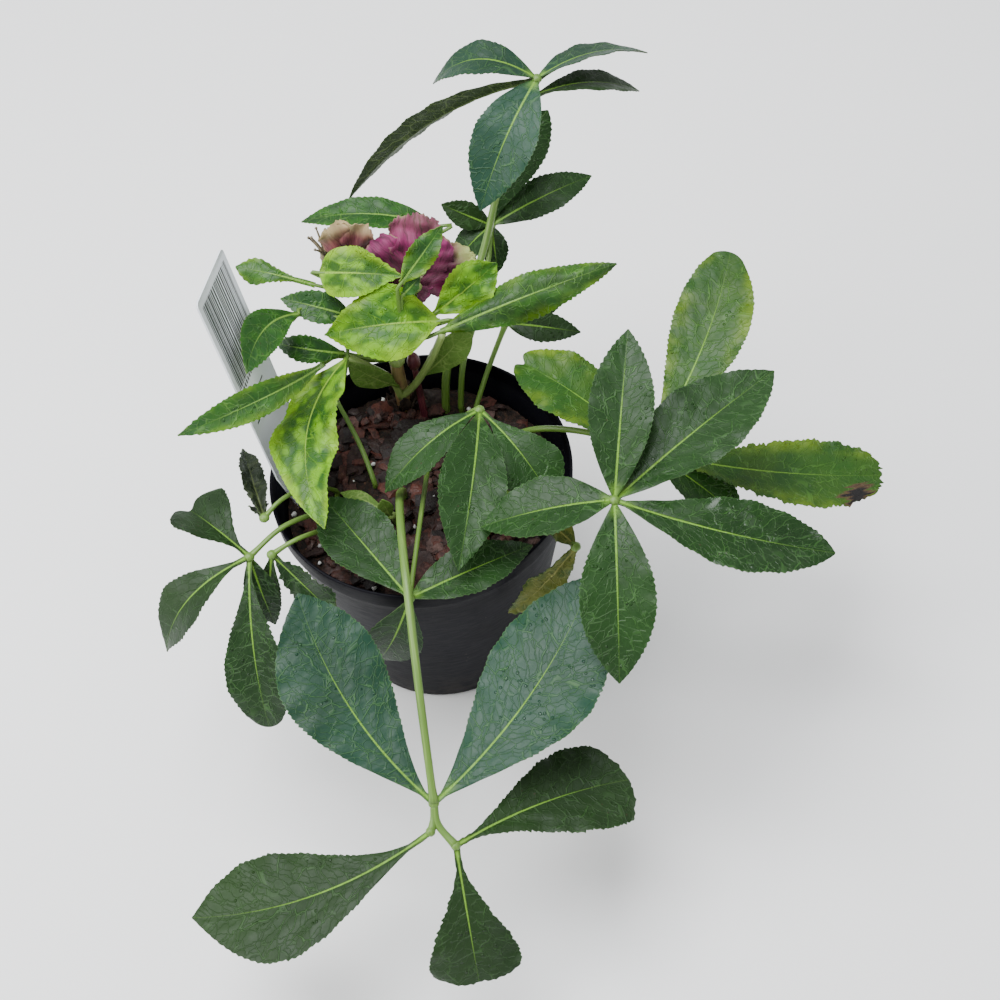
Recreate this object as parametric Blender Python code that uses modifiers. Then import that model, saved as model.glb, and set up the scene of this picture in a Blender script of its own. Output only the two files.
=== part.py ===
"""Hellebore plant in its nursery pot.

The origin is the centre of the pot's base, +Z is up and the front of the plant is -Y.
Lengths in the tables are millimetres, and MM turns them into metres.
"""
import math
import random

import bmesh
import bpy
from mathutils import Vector, noise

MM = 0.001

# Pot
RIM_RADIUS = 85.0
BASE_RADIUS = 60.0
POT_HEIGHT = 155.0
LIP_HEIGHT = 12.0
LIP_STEP = 2.6
WALL = 1.8
FLOOR = 2.4
POT_STEPS = 48
DRAIN_HOLES = 6
DRAIN_RADIUS = 5.0
DRAIN_CIRCLE = 42.0

# Soil
SOIL_TOP = 133.0
SOIL_GAP = 0.4
STEM_DEPTH = 20.0
HOLE_CLEARANCE = 0.9
SOIL_RELIEF = 2.2
CHIP_COUNT = 32
CHIP_REACH = 69.0
CHIP_KEEP_OUT = 8.0
SOIL_STEPS = 24
SOIL_RINGS = 4
LABEL_SLOT = (-72.0, 11.0)
SLOT_REACH = 20.0

LOW = SOIL_TOP - STEM_DEPTH
# Where each stem stands, as (x, y, radius)
FEET = {
    "leaf_front": (-12, -3, 2.4),
    "leaf_right": (28, 34, 2.2),
    "leaf_right_low": (42, 24, 2.0),
    "leaf_top": (16, 59, 2.6),
    "leaf_back": (25, 58, 2.0),
    "leaf_back_small": (34, 54, 1.6),
    "leaf_centre": (17, 24, 1.8),
    "leaf_rim": (4, 14, 1.5),
    "leaf_left": (-42, -10, 1.7),
    "leaf_left_low": (-36, -20, 1.6),
    "leaf_old": (-50, 2, 1.5),
    "leaf_yellow": (40, -8, 1.5),
    "flower_stem": (-9, 64, 4.6),
    "dry_stalk": (-28, 6, 1.6),
    "young_shoot": (-17, -19, 2.6),
}

# Leaf blades
BLADE_THICKNESS = 0.75
LEAFLET_NARROW = 1.7
HUB_RADIUS = 3.1
STEM_STEP = 16.0

# Plant label
LABEL_THICKNESS = 0.9
LABEL_WIDTH = 48.0
LABEL_TIP_WIDTH = 10.0
LABEL_STRAIGHT = 122.0
LABEL_LENGTH = 188.0
LABEL_TOP_MIDDLE = (-92.8, 39.3, 278.6)
LABEL_UPWARD = (-0.15, 0.17, 0.97)
LABEL_ACROSS = (0.19, 0.97, -0.14)

UP = (0.0, 0.0, 1.0)

for old in list(bpy.data.objects):
    bpy.data.objects.remove(old, do_unlink=True)

plant = bpy.data.collections.new("hellebore_plant")
cutters = bpy.data.collections.new("cutters")
bpy.context.scene.collection.children.link(plant)
bpy.context.scene.collection.children.link(cutters)


def material(name, colour, roughness):
    """A plain surface with one colour."""
    mat = bpy.data.materials.new(name)
    mat.use_nodes = True
    shader = mat.node_tree.nodes["Principled BSDF"]
    shader.inputs["Base Color"].default_value = (*colour, 1.0)
    shader.inputs["Roughness"].default_value = roughness
    shader.inputs["Metallic"].default_value = 0.0
    return mat


def add_object(name, mesh):
    obj = bpy.data.objects.new(name, mesh)
    plant.objects.link(obj)
    return obj


def finish(obj, mat, crease=35.0):
    """Give a node its material and smooth its round faces."""
    obj.data.materials.clear()
    obj.data.materials.append(mat)
    obj.data.shade_smooth()
    obj.data.set_sharp_from_angle(angle=math.radians(crease))
    return obj


def baked(obj, name=None):
    """Replace an object, curve or mesh, by a mesh with its modifiers applied."""
    graph = bpy.context.evaluated_depsgraph_get()
    graph.update()
    mesh = bpy.data.meshes.new_from_object(obj.evaluated_get(graph))
    mesh.transform(obj.matrix_world)
    work = bmesh.new()
    work.from_mesh(mesh)
    bmesh.ops.remove_doubles(work, verts=work.verts, dist=0.00001)
    work.to_mesh(mesh)
    work.free()
    name = name or obj.name
    bpy.data.objects.remove(obj, do_unlink=True)
    return add_object(name, mesh)


def fuse(name, pieces):
    """Join closed pieces into one body with one Boolean union."""
    first, rest = pieces[0], pieces[1:]
    group = bpy.data.collections.new(name + "_pieces")
    bpy.context.scene.collection.children.link(group)
    for piece in rest:
        group.objects.link(piece)
    union = first.modifiers.new("union", "BOOLEAN")
    union.operation = "UNION"
    union.operand_type = "COLLECTION"
    union.collection = group
    union.solver = "EXACT"
    result = baked(first, name + "_fused")
    for piece in rest:
        bpy.data.objects.remove(piece, do_unlink=True)
    bpy.data.collections.remove(group)
    result.name = name
    return result


def cut(obj, tools):
    """Cut every tool out of an object, and bake it."""
    name = obj.name
    for tool in tools:
        tool.hide_render = True
        tool.display_type = "WIRE"
        plant.objects.unlink(tool)
        cutters.objects.link(tool)
    difference = obj.modifiers.new("holes", "BOOLEAN")
    difference.operation = "DIFFERENCE"
    difference.operand_type = "COLLECTION"
    difference.collection = cutters
    difference.solver = "EXACT"
    result = baked(obj, name + "_cut")
    for tool in tools:
        bpy.data.objects.remove(tool, do_unlink=True)
    result.name = name
    return result


def turned(name, profile, steps):
    """Turn a profile of (radius, height) about Z. It runs down its outer side."""
    mesh = bpy.data.meshes.new(name)
    work = bmesh.new()
    verts = [work.verts.new((r * MM, 0.0, z * MM)) for r, z in profile]
    for one, two in zip(verts, verts[1:]):
        work.edges.new((one, two))
    work.to_mesh(mesh)
    work.free()
    obj = add_object(name, mesh)
    screw = obj.modifiers.new("turn", "SCREW")
    screw.steps = steps
    screw.render_steps = steps
    screw.use_merge_vertices = True
    screw.merge_threshold = 0.0001
    return baked(obj)


def rod(name, x, y, low, high, radius, sides=8):
    """A plain upright cylinder."""
    mesh = bpy.data.meshes.new(name)
    work = bmesh.new()
    bmesh.ops.create_cone(work, cap_ends=True, segments=sides, depth=(high - low) * MM,
                          radius1=radius * MM, radius2=radius * MM)
    work.to_mesh(mesh)
    work.free()
    obj = add_object(name, mesh)
    obj.location = (x * MM, y * MM, (low + high) / 2.0 * MM)
    bpy.context.view_layer.update()
    return obj


def smooth_route(points, step=STEM_STEP):
    """Points along a Catmull-Rom curve through the given ones."""
    knots = [Vector(p) for p in points]
    knots = [knots[0] * 2 - knots[1]] + knots + [knots[-1] * 2 - knots[-2]]
    route = []
    for i in range(1, len(knots) - 2):
        a, b, c, d = knots[i - 1:i + 3]
        pieces = max(1, round((c - b).length / step))
        for k in range(pieces):
            t = k / pieces
            route.append(0.5 * (2 * b + (c - a) * t + (2 * a - 5 * b + 4 * c - d) * t ** 2
                                + (3 * b - a - 3 * c + d) * t ** 3))
    route.append(knots[-2])
    return route


def tube(name, points, radius, tip_radius=None, step=STEM_STEP, resolution=1):
    """A stem along a smooth curve, tapering from radius to tip_radius."""
    route = smooth_route(points, step)
    tip_radius = radius if tip_radius is None else tip_radius
    curve = bpy.data.curves.new(name, "CURVE")
    curve.dimensions = "3D"
    curve.bevel_depth = MM
    curve.bevel_resolution = resolution
    curve.use_fill_caps = True
    spline = curve.splines.new("POLY")
    spline.points.add(len(route) - 1)
    for i, point in enumerate(route):
        share = i / (len(route) - 1)
        spline.points[i].co = (*(point * MM), 1.0)
        spline.points[i].radius = radius + (tip_radius - radius) * share
    return baked(add_object(name, curve))


def knob(name, centre, radius):
    """The small swelling where leaflets leave their stalk."""
    mesh = bpy.data.meshes.new(name)
    work = bmesh.new()
    bmesh.ops.create_uvsphere(work, u_segments=6, v_segments=4, radius=radius * MM)
    bmesh.ops.translate(work, verts=work.verts, vec=Vector(centre) * MM)
    work.to_mesh(mesh)
    work.free()
    return add_object(name, mesh)


def outline(t, peak):
    """Half width of a leaflet at t along it, as a share of its widest, which lies at peak."""
    power = math.log(0.5) / math.log(peak)
    return max(0.0, math.sin(math.pi * t ** power))


def blade(name, base, tip, width, face=UP, peak=0.62, full=0.85, cut_off=0.0, arch=0.06,
          sweep=0.0, fold=0.16, curl=0.0, twist=0.0, wave=0.0, waves=2.0,
          teeth=0.055, rows=9, columns=2, root=LEAFLET_NARROW, point=0.5):
    """A toothed leaflet, bract or sepal from base to tip, with its upper side to face."""
    base, tip = Vector(base), Vector(tip)
    along = (tip - base).normalized()
    length = (tip - base).length
    normal = Vector(face)
    normal = (normal - along * normal.dot(along)).normalized()
    side = normal.cross(along)
    work = bmesh.new()
    bmesh.ops.create_grid(work, x_segments=rows, y_segments=columns, size=1.0)
    for vert in work.verts:
        t = (vert.co.x + 1.0) / 2.0
        across = vert.co.y
        row = round(t * rows)
        half = width / 2.0 * outline(t * (1.0 - cut_off), peak) ** full
        half = max(half, root + (point - root) * t)
        tooth = 0.0
        if 0 < row < rows and abs(across) > 0.99:
            tooth = teeth * (1 if row % 2 else -1)
        reach = across * half * (1.0 + tooth)
        lift = half * (fold * abs(across) - curl * across ** 2)
        lift += wave * half * across ** 2 * math.sin(2 * math.pi * waves * t + 1.5 * across)
        angle = twist * t
        shift_side = reach * math.cos(angle) - lift * math.sin(angle)
        shift_up = reach * math.sin(angle) + lift * math.cos(angle)
        bow = 4.0 * t * (1.0 - t)
        rounding = cut_off * 0.35 * length * t ** 3 * across ** 2 if cut_off else 0.0
        vert.co = (base + along * (length * t - rounding)
                   + normal * (arch * length * bow + shift_up)
                   + side * (sweep * length * bow + shift_side)) * MM
    bmesh.ops.triangulate(work, faces=work.faces)
    mesh = bpy.data.meshes.new(name)
    work.to_mesh(mesh)
    work.free()
    obj = add_object(name, mesh)
    solid = obj.modifiers.new("thickness", "SOLIDIFY")
    solid.thickness = BLADE_THICKNESS * MM
    solid.offset = 0.0
    return baked(obj)


def toward(start, bearing, rise, length):
    """The end of a line from start, by compass bearing from +X and rise in degrees."""
    flat = length * math.cos(math.radians(rise))
    turn = math.radians(bearing)
    return (start[0] + flat * math.cos(turn), start[1] + flat * math.sin(turn),
            start[2] + length * math.sin(math.radians(rise)))


def foot(name, top=SOIL_TOP + 6.0):
    """The upright lowest stretch of a stem, from its end in the soil."""
    x, y, _ = FEET[name]
    return [(x, y, LOW), (x, y, SOIL_TOP - 5.0), (x, y, SOIL_TOP + 1.0), (x, y, top)]


def shape(**values):
    """The form of a blade, as the values that differ from a plain leaflet."""
    return values


def leaf(name, stalk, leaflets, mat, side_stalks=(), tip_radius=None, resolution=1):
    """A hand-shaped leaf: stalk, hub and leaflets fused into one body.

    Each leaflet is (start, bearing, rise, length, width, shape). It starts at the hub if start is None.
    """
    radius = FEET[name][2]
    pieces = [tube(name + "_stalk", foot(name) + stalk, radius, tip_radius, resolution=resolution)]
    pieces.append(knob(name + "_hub", stalk[-1], max(HUB_RADIUS, radius)))
    for i, route in enumerate(side_stalks):
        pieces.append(tube(name + "_side" + str(i), route, 1.9, 1.7))
        pieces.append(knob(name + "_fork" + str(i), route[-1], 2.6))
    for i, (start, bearing, rise, length, width, shape) in enumerate(leaflets):
        start = start or stalk[-1]
        end = toward(start, bearing, rise, length)
        pieces.append(blade(name + "_leaflet" + str(i), start, end, width, **shape))
    return finish(fuse(name, pieces), mat)


# Leaves. Every stalk starts in its hole in the soil.
LEAF_GREEN = material("leaf_green", (0.035, 0.110, 0.050), 0.42)
LEAF_TEAL = material("leaf_teal", (0.040, 0.125, 0.085), 0.42)
LEAF_OLD = material("leaf_old", (0.020, 0.045, 0.022), 0.50)
LEAF_YELLOW = material("leaf_yellow", (0.260, 0.250, 0.070), 0.60)
LEAF_LIME = material("leaf_lime", (0.170, 0.330, 0.050), 0.48)

FRONT_HUB = (-5, -185, 120)
FRONT_FORK = (4, -204, 109)
FRONT_SIDE = (-8, -197, 113)
FRONT_STALK = [(-12, -22, 159), (-11, -52, 171), (-9, -90, 173), (-7, -140, 152), FRONT_HUB]
leaf("leaf_front", FRONT_STALK, [
    (None, 121, 21, 128, 56, shape(columns=4, rows=11, peak=0.64, full=0.85, fold=0.10, curl=0.10,
                                   wave=0.05, arch=-0.02, sweep=0.07)),
    (None, 47, 17, 141, 62, shape(columns=4, rows=11, peak=0.62, full=0.85, fold=0.10, curl=0.10,
                                  wave=0.05, arch=-0.01, sweep=-0.06)),
    (FRONT_FORK, 20, -9, 99, 50, shape(cut_off=0.24, peak=0.62, full=1.1, fold=0.12, wave=0.06,
                                       arch=0.0, sweep=0.05)),
    (FRONT_FORK, -85, -43, 74, 46, shape(cut_off=0.34, peak=0.60, full=1.3, fold=0.10, wave=0.08)),
    (FRONT_SIDE, -169, -10, 128, 56, shape(columns=4, rows=11, peak=0.68, full=0.95, fold=0.10, curl=0.08,
                                           arch=-0.01, sweep=0.08)),
], LEAF_TEAL, side_stalks=[[FRONT_HUB, (-4, -194, 114), FRONT_FORK],
                           [FRONT_HUB, (-6, -192, 115), FRONT_SIDE]], tip_radius=2.0, resolution=2)

leaf("leaf_right", [(50, 6, 150), (74, -27, 164), (88, -47, 181), (100, -67, 200)], [
    (None, 34, 8, 111, 46, shape(rows=11, peak=0.55, fold=0.12, wave=0.05, arch=0.03)),
    (None, 78, 27, 89, 33, shape(peak=0.52, fold=0.14)),
    (None, 179, -12, 70, 36, shape(peak=0.50, fold=0.10)),
    (None, -95, -33, 92, 38, shape(peak=0.55, fold=0.12, arch=0.10)),
    (None, -20, -5, 112, 42, shape(rows=11, peak=0.62, full=0.78, fold=0.10, wave=0.05, arch=0.0,
                                   sweep=-0.03)),
], LEAF_GREEN, tip_radius=1.8)

leaf("leaf_right_low", [(66, 14, 162), (96, 2, 169), (126, -11, 164)], [
    (None, 59, 23, 124, 43, shape(rows=11, peak=0.62, full=0.85, fold=0.10, wave=0.05, sweep=-0.06,
                                  cut_off=0.08)),
    (None, -8, -8, 131, 46, shape(rows=11, peak=0.64, full=0.85, fold=0.08, cut_off=0.12, arch=0.0,
                                  sweep=-0.04)),
    (None, 144, 21, 88, 42, shape(peak=0.60, cut_off=0.10, fold=0.14, wave=0.06)),
    (None, -35, -25, 66, 30, shape(peak=0.58)),
], LEAF_LIME, tip_radius=1.7)

TOP_HUB = (85, 162, 285)
TOP_FORK = (82, 159, 276)
leaf("leaf_top", [(20, 67, 164), (34, 94, 184), (48, 120, 204), (60, 142, 230), TOP_HUB], [
    (None, -128, -38, 78, 36, shape(rows=11, peak=0.50, face=(-0.2, -0.6, 0.8), fold=0.16, arch=0.14)),
    (None, -173, -28, 129, 26, shape(rows=11, peak=0.55, face=(0.1, 0.9, 0.7), fold=0.25, arch=0.10)),
    (None, 165, -8, 60, 26, shape(peak=0.50, arch=0.26, face=(0.0, -0.1, 1.0))),
    (None, 22, -8, 71, 27, shape(peak=0.50, arch=0.10, face=(0.0, 0.4, 1.0))),
    (TOP_FORK, 17, -16, 68, 24, shape(peak=0.60, arch=0.10, face=(0.0, 0.1, 1.0))),
], LEAF_TEAL, tip_radius=2.0)

leaf("leaf_back", [(29, 67, 164), (40, 94, 176), (49, 122, 189), (53, 141, 200)], [
    (None, 49, 36, 74, 30, shape(peak=0.62, full=0.8, face=(0.2, -0.8, 0.6), sweep=0.08)),
    (None, 20, 9, 67, 24, shape(peak=0.52, face=(0.0, -0.4, 1.0))),
    (None, 165, 24, 32, 16, shape(rows=7, peak=0.5, face=(0.0, -0.8, 0.6))),
    (None, -149, -28, 31, 22, shape(rows=7, peak=0.5)),
    (None, -87, -46, 28, 16, shape(rows=7, peak=0.5)),
], LEAF_GREEN, tip_radius=1.5)

leaf("leaf_back_small", [(44, 68, 158), (56, 84, 176)], [
    (None, -6, -12, 44, 18, shape(rows=7, peak=0.45, face=(0.0, -0.7, 1.0))),
    (None, 85, 10, 28, 14, shape(rows=7, peak=0.5)),
    (None, 22, 20, 42, 20, shape(rows=7, peak=0.6, face=(0.2, -0.9, 0.5))),
], LEAF_GREEN)

leaf("leaf_centre", [(22, 20, 164), (30, 14, 181), (36, 11, 187)], [
    (None, -147, -16, 68, 28, shape(peak=0.58, full=0.95, fold=0.14, arch=0.12)),
    (None, -101, -8, 97, 36, shape(rows=11, peak=0.55, full=0.95, fold=0.20, arch=0.10,
                                   face=(0.3, 0.0, 1.0))),
    (None, -56, -18, 64, 36, shape(peak=0.66, full=1.1, fold=0.12, arch=0.12, cut_off=0.1)),
], LEAF_GREEN)

leaf("leaf_rim", [(2, -12, 154), (-3, -50, 160), (-9, -88, 160)], [
    (None, 123, 2, 81, 38, shape(peak=0.60, fold=0.14, arch=0.0)),
    (None, 21, 0, 71, 30, shape(peak=0.50, fold=0.14, arch=0.02)),
    (None, -168, -65, 56, 32, shape(peak=0.55, face=(0.0, -1.0, 0.2), arch=0.12)),
], LEAF_GREEN, tip_radius=1.3)

leaf("leaf_left", [(-58, -22, 152), (-76, -36, 161), (-94, -51, 158)], [
    (None, 140, 16, 46, 44, shape(peak=0.62, full=1.3, cut_off=0.34, twist=0.5, fold=0.3)),
    (None, -149, -32, 71, 30, shape(peak=0.60, full=1.1, fold=0.25, arch=0.22)),
    (None, -90, -43, 94, 35, shape(rows=11, peak=0.62, full=1.1, cut_off=0.12, face=(-0.2, -0.8, 0.6),
                                   arch=0.10)),
    (None, -70, -66, 46, 18, shape(rows=7, peak=0.5, face=(0.0, -0.8, 0.6))),
], LEAF_GREEN, tip_radius=1.4)

leaf("leaf_left_low", [(-51, -32, 151), (-68, -44, 160), (-82, -51, 158)], [
    (None, -40, -34, 50, 24, shape(peak=0.6, face=(-0.3, -0.9, 0.3), wave=0.2, teeth=0.12, arch=0.0)),
    (None, -130, -76, 50, 14, shape(rows=7, peak=0.55, face=(-0.4, -0.9, 0.3))),
], LEAF_GREEN, tip_radius=1.3)

leaf("leaf_old", [(-62, -12, 163), (-75, -26, 172), (-84, -35, 170)], [
    (None, 105, 1, 50, 13, shape(peak=0.5, fold=0.6, wave=0.25, twist=0.6)),
    (None, 110, -34, 24, 10, shape(rows=7, peak=0.5, fold=0.6, wave=0.2)),
], LEAF_OLD, tip_radius=1.2)

leaf("leaf_yellow", [(54, -29, 157), (68, -50, 163), (80, -66, 160)], [
    (None, -168, -50, 62, 20, shape(peak=0.5, face=(0.2, -1.0, 0.4), fold=0.4, wave=0.25)),
    (None, 140, 24, 30, 14, shape(rows=7, peak=0.5, fold=0.4, wave=0.2)),
], LEAF_YELLOW, tip_radius=1.2)

# Flowering stem: its axis, three flower stalks and its bracts in one body.
FLOWER_NODE = (-8, 55, 186)
FLOWER_TOP = (-3, 57, 208)
FRONT_BLOOM = (8, 76, 213)
BACK_BLOOM = (-27, 103, 212)
DRY_BLOOM = (-43, 112, 209)
BACK_FORK = (-12, 80, 212)
LEFT_ARM = [(-9, 58, 150), (-13, 56, 168), (-23, 50, 187), (-34, 49, 198)]
RIGHT_ARM = [(-9, 58, 150), (1, 55, 164), (12, 50, 189), (20, 51, 207)]
# Each bract is (where it leaves, base, tip, width, shape)
BRACTS = [
    (FLOWER_TOP, (19, 57, 211), (-45, 57, 209), 42, shape(peak=0.45, arch=0.12, face=(0, -0.6, 1))),
    (FLOWER_TOP, (19, 52, 208), (118, 69, 230), 24, shape(rows=11, arch=0.08, peak=0.50,
                                                          face=(0, -0.7, 1))),
    (FLOWER_NODE, (-34, 49, 198), (-50, -54, 181), 37, shape(rows=11, peak=0.5, arch=0.08, sweep=-0.13,
                                                             face=(-0.3, -0.3, 1))),
    (FLOWER_NODE, (-47, 46, 198), (-123, -4, 208), 17, shape(rows=11, arch=0.34, fold=0.25,
                                                             face=(0.15, -0.72, 0.7))),
    (FLOWER_TOP, (-58, 66, 218), (-81, 8, 238), 22, shape(peak=0.55, arch=0.05, sweep=-0.12,
                                                          face=(0.5, -0.4, 1))),
    (BACK_FORK, (-45, 88, 226), (2, 70, 235), 30, shape(peak=0.36, arch=0.06, face=(0, -0.6, 0.9))),
    (BACK_FORK, (-49, 88, 217), (-92, 98, 227), 14, shape(peak=0.75, face=(0, -0.5, 1), wave=0.15)),
    (BACK_BLOOM, (22, 126, 217), (-56, 135, 222), 23, shape(peak=0.5, arch=0.11, face=(0, -0.1, 1))),
    (FLOWER_TOP, (-30, 68, 210), (-68, 78, 219), 18, shape(peak=0.45, face=(0, -0.6, 1))),
    (FLOWER_TOP, (15, 61, 212), (53, 74, 234), 26, shape(peak=0.6, face=(0.1, -0.8, 0.6), wave=0.2)),
    (FLOWER_TOP, (1, 62, 238), (26, 77, 262), 15, shape(peak=0.5, face=(0, -0.8, 0.6), wave=0.2)),
    (FLOWER_TOP, (1, 61, 230), (11, 64, 239), 8, shape(rows=5, peak=0.5, face=(0, -0.8, 0.6))),
    (FLOWER_NODE, (-36, 52, 198), (-73, 60, 203), 15, shape(peak=0.5, arch=0.30, face=(0, -0.7, 0.7))),
    (LEFT_ARM[1], (-12, 54, 166), (-34, 47, 196), 20, shape(rows=7, peak=0.5, face=(-0.4, -0.7, 0.5))),
    (RIGHT_ARM[1], (4, 56, 168), (36, 55, 207), 20, shape(rows=7, peak=0.6, face=(0.3, -0.8, 0.5))),
]
flower = [tube("flower_axis", foot("flower_stem", 146) + [FLOWER_NODE, FLOWER_TOP], 4.6, 3.4, resolution=2)]
flower.append(knob("flower_top", FLOWER_TOP, 5.4))
flower.append(knob("flower_joint", FLOWER_NODE, 5.4))
flower.append(tube("arm_left", LEFT_ARM, 2.4, 2.2))
flower.append(tube("arm_right", RIGHT_ARM, 2.4, 2.2))
flower.append(tube("stalk_front", [FLOWER_TOP, (2, 66, 211), FRONT_BLOOM], 2.4, 2.2))
flower.append(tube("stalk_back", [FLOWER_TOP, BACK_FORK, BACK_BLOOM], 2.2, 1.8))
flower.append(tube("stalk_dry", [BACK_FORK, (-30, 100, 213), DRY_BLOOM], 1.8, 1.5))
for i, (root, base, tip, width, form) in enumerate(BRACTS):
    flower.append(tube("bract_root" + str(i), [root, base], 2.2, 1.8))
    flower.append(blade("bract" + str(i), base, tip, width, **form))
finish(fuse("flower_stem", flower), LEAF_LIME)

# Blooms: sepals round a small cup, which sits just above the end of its flower stalk.
SEPAL_PLUM = material("sepal_plum", (0.230, 0.028, 0.085), 0.55)
SEPAL_DUSTY = material("sepal_dusty", (0.420, 0.230, 0.200), 0.65)
DRIED = material("dried_flower", (0.300, 0.200, 0.120), 0.80)


def bloom(name, stalk_end, tips, mat, lift, cup=3.4):
    """A cup with sepals round it. Each sepal is (tip, width, face, shape)."""
    x, y, z = stalk_end
    centre = (x, y, z + lift + cup)
    pieces = [knob(name + "_cup", centre, cup + 0.8)]
    for i, (tip, width, face, form) in enumerate(tips):
        form = dict(shape(peak=0.60, full=0.55, teeth=0.03, fold=0.10, curl=0.25, rows=6, root=2.2), **form)
        pieces.append(blade(name + "_sepal" + str(i), centre, tip, width, face=face, **form))
    return finish(fuse(name, pieces), mat)


bloom("bloom_front", FRONT_BLOOM, [
    ((11, 100, 252), 30, (-0.1, -1.0, 0.3), shape(wave=0.15, cut_off=0.16)),
    ((-16, 91, 242), 26, (0.4, -1.0, 0.5), shape(wave=0.15, cut_off=0.10)),
    ((43, 82, 232), 32, (-0.3, -0.6, 0.8), shape(wave=0.15, arch=0.06)),
    ((24, 90, 244), 24, (-0.4, -1.0, 0.5), shape(cut_off=0.1)),
    ((15, 70, 220), 13, (0.0, -0.6, 0.8), shape(cut_off=0.1)),
], SEPAL_PLUM, lift=3.0)

bloom("bloom_back", BACK_BLOOM, [
    ((-37, 105, 244), 20, (0.2, -1.0, 0.2), shape(cut_off=0.2, wave=0.2)),
    ((-24, 106, 245), 20, (-0.2, -1.0, 0.2), shape(cut_off=0.2, wave=0.2)),
    ((-17, 110, 236), 16, (-0.5, -0.8, 0.6), shape(wave=0.2)),
    ((-37, 103, 232), 14, (0.5, -0.8, 0.6), shape(wave=0.2)),
], SEPAL_DUSTY, lift=3.6, cup=2.8)

DRY_CUP = (DRY_BLOOM[0], DRY_BLOOM[1], DRY_BLOOM[2] + 5.4)
dry = [knob("dry_cup", DRY_CUP, 3.6)]
DRY_SPIKES = 9
DRY_SPREAD = 8.5
DRY_RISE = 18.0
for i in range(DRY_SPIKES):
    turn = 2.0 * math.pi * i / DRY_SPIKES
    reach = DRY_SPREAD * (0.7 if i % 2 else 1.0)
    end = (DRY_CUP[0] + reach * math.cos(turn), DRY_CUP[1] + reach * math.sin(turn),
           DRY_CUP[2] + DRY_RISE * (1.0 if i % 2 else 0.75))
    dry.append(tube("dry_spike" + str(i), [DRY_CUP, end], 1.1, 0.5, step=30.0))
finish(fuse("bloom_dried", dry), DRIED)

# Small stems that stand in the soil by themselves.
finish(tube("dry_stalk", foot("dry_stalk") + [(-34, 24, 150), (-45, 46, 166)], FEET["dry_stalk"][2], 1.3),
       LEAF_YELLOW)
shoot = [tube("shoot_stem", foot("young_shoot", 138) + [(-19, -22, 143)], FEET["young_shoot"][2], 2.2)]
shoot.append(blade("shoot_leaf0", (-19, -22, 142), (-46, -6, 147), 9, arch=0.12, rows=7))
shoot.append(blade("shoot_leaf1", (-19, -22, 142), (-22, -20, 156), 9, face=(0, -1, 0.2), rows=7))
finish(fuse("young_shoot", shoot), LEAF_LIME)

# Pot: a turned shell with a rolled lip and drain holes in its floor.
CHARCOAL = material("pot_charcoal", (0.028, 0.029, 0.034), 0.45)
LIP_LOW = POT_HEIGHT - LIP_HEIGHT
OUTER_TOP = RIM_RADIUS - LIP_STEP
INNER_TOP = OUTER_TOP - WALL
INNER_LOW = BASE_RADIUS + 1.0 - WALL - 1.6
pot = turned("pot", [
    (0.0, FLOOR), (INNER_LOW - 1.5, FLOOR), (INNER_LOW, FLOOR + 1.5), (INNER_TOP, LIP_LOW - 1.0),
    (RIM_RADIUS - WALL, LIP_LOW + 2.0), (RIM_RADIUS - WALL, POT_HEIGHT - 0.8),
    (RIM_RADIUS - WALL + 0.7, POT_HEIGHT), (RIM_RADIUS - 0.7, POT_HEIGHT),
    (RIM_RADIUS, POT_HEIGHT - 0.8), (RIM_RADIUS - 0.4, LIP_LOW), (OUTER_TOP, LIP_LOW - 1.2),
    (BASE_RADIUS + 1.0, 2.5), (BASE_RADIUS, 0.6), (BASE_RADIUS - 1.5, 0.0), (0.0, 0.0),
], POT_STEPS)
drains = []
for i in range(DRAIN_HOLES):
    turn = 2.0 * math.pi * (i + 0.5) / DRAIN_HOLES
    drains.append(rod("drain" + str(i), DRAIN_CIRCLE * math.cos(turn), DRAIN_CIRCLE * math.sin(turn),
                      -2.0, FLOOR + 2.0, DRAIN_RADIUS))
finish(cut(pot, drains), CHARCOAL)


# Label: a flat plastic tag with a pointed foot, leaning in its slot in the soil.
def label(name, extra=0.0):
    """The tag's plate, or with extra the larger plate that cuts its slot."""
    upward = Vector(LABEL_UPWARD).normalized()
    across = Vector(LABEL_ACROSS)
    across = (across - upward * across.dot(upward)).normalized()
    wide = LABEL_WIDTH / 2.0 + extra
    tip = LABEL_TIP_WIDTH / 2.0 + extra
    corners = [(-wide, extra), (wide, extra), (wide, -LABEL_STRAIGHT), (tip, -LABEL_LENGTH - extra),
               (-tip, -LABEL_LENGTH - extra), (-wide, -LABEL_STRAIGHT)]
    mesh = bpy.data.meshes.new(name)
    work = bmesh.new()
    verts = [work.verts.new((Vector(LABEL_TOP_MIDDLE) + across * u + upward * v) * MM) for u, v in corners]
    work.faces.new(verts)
    work.to_mesh(mesh)
    work.free()
    obj = add_object(name, mesh)
    plate = obj.modifiers.new("thickness", "SOLIDIFY")
    plate.thickness = (LABEL_THICKNESS + 2.0 * extra) * MM
    plate.offset = 0.0
    return baked(obj)


LABEL_WHITE = material("label_white", (0.780, 0.800, 0.820), 0.35)
finish(label("plant_label"), LABEL_WHITE)

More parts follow.
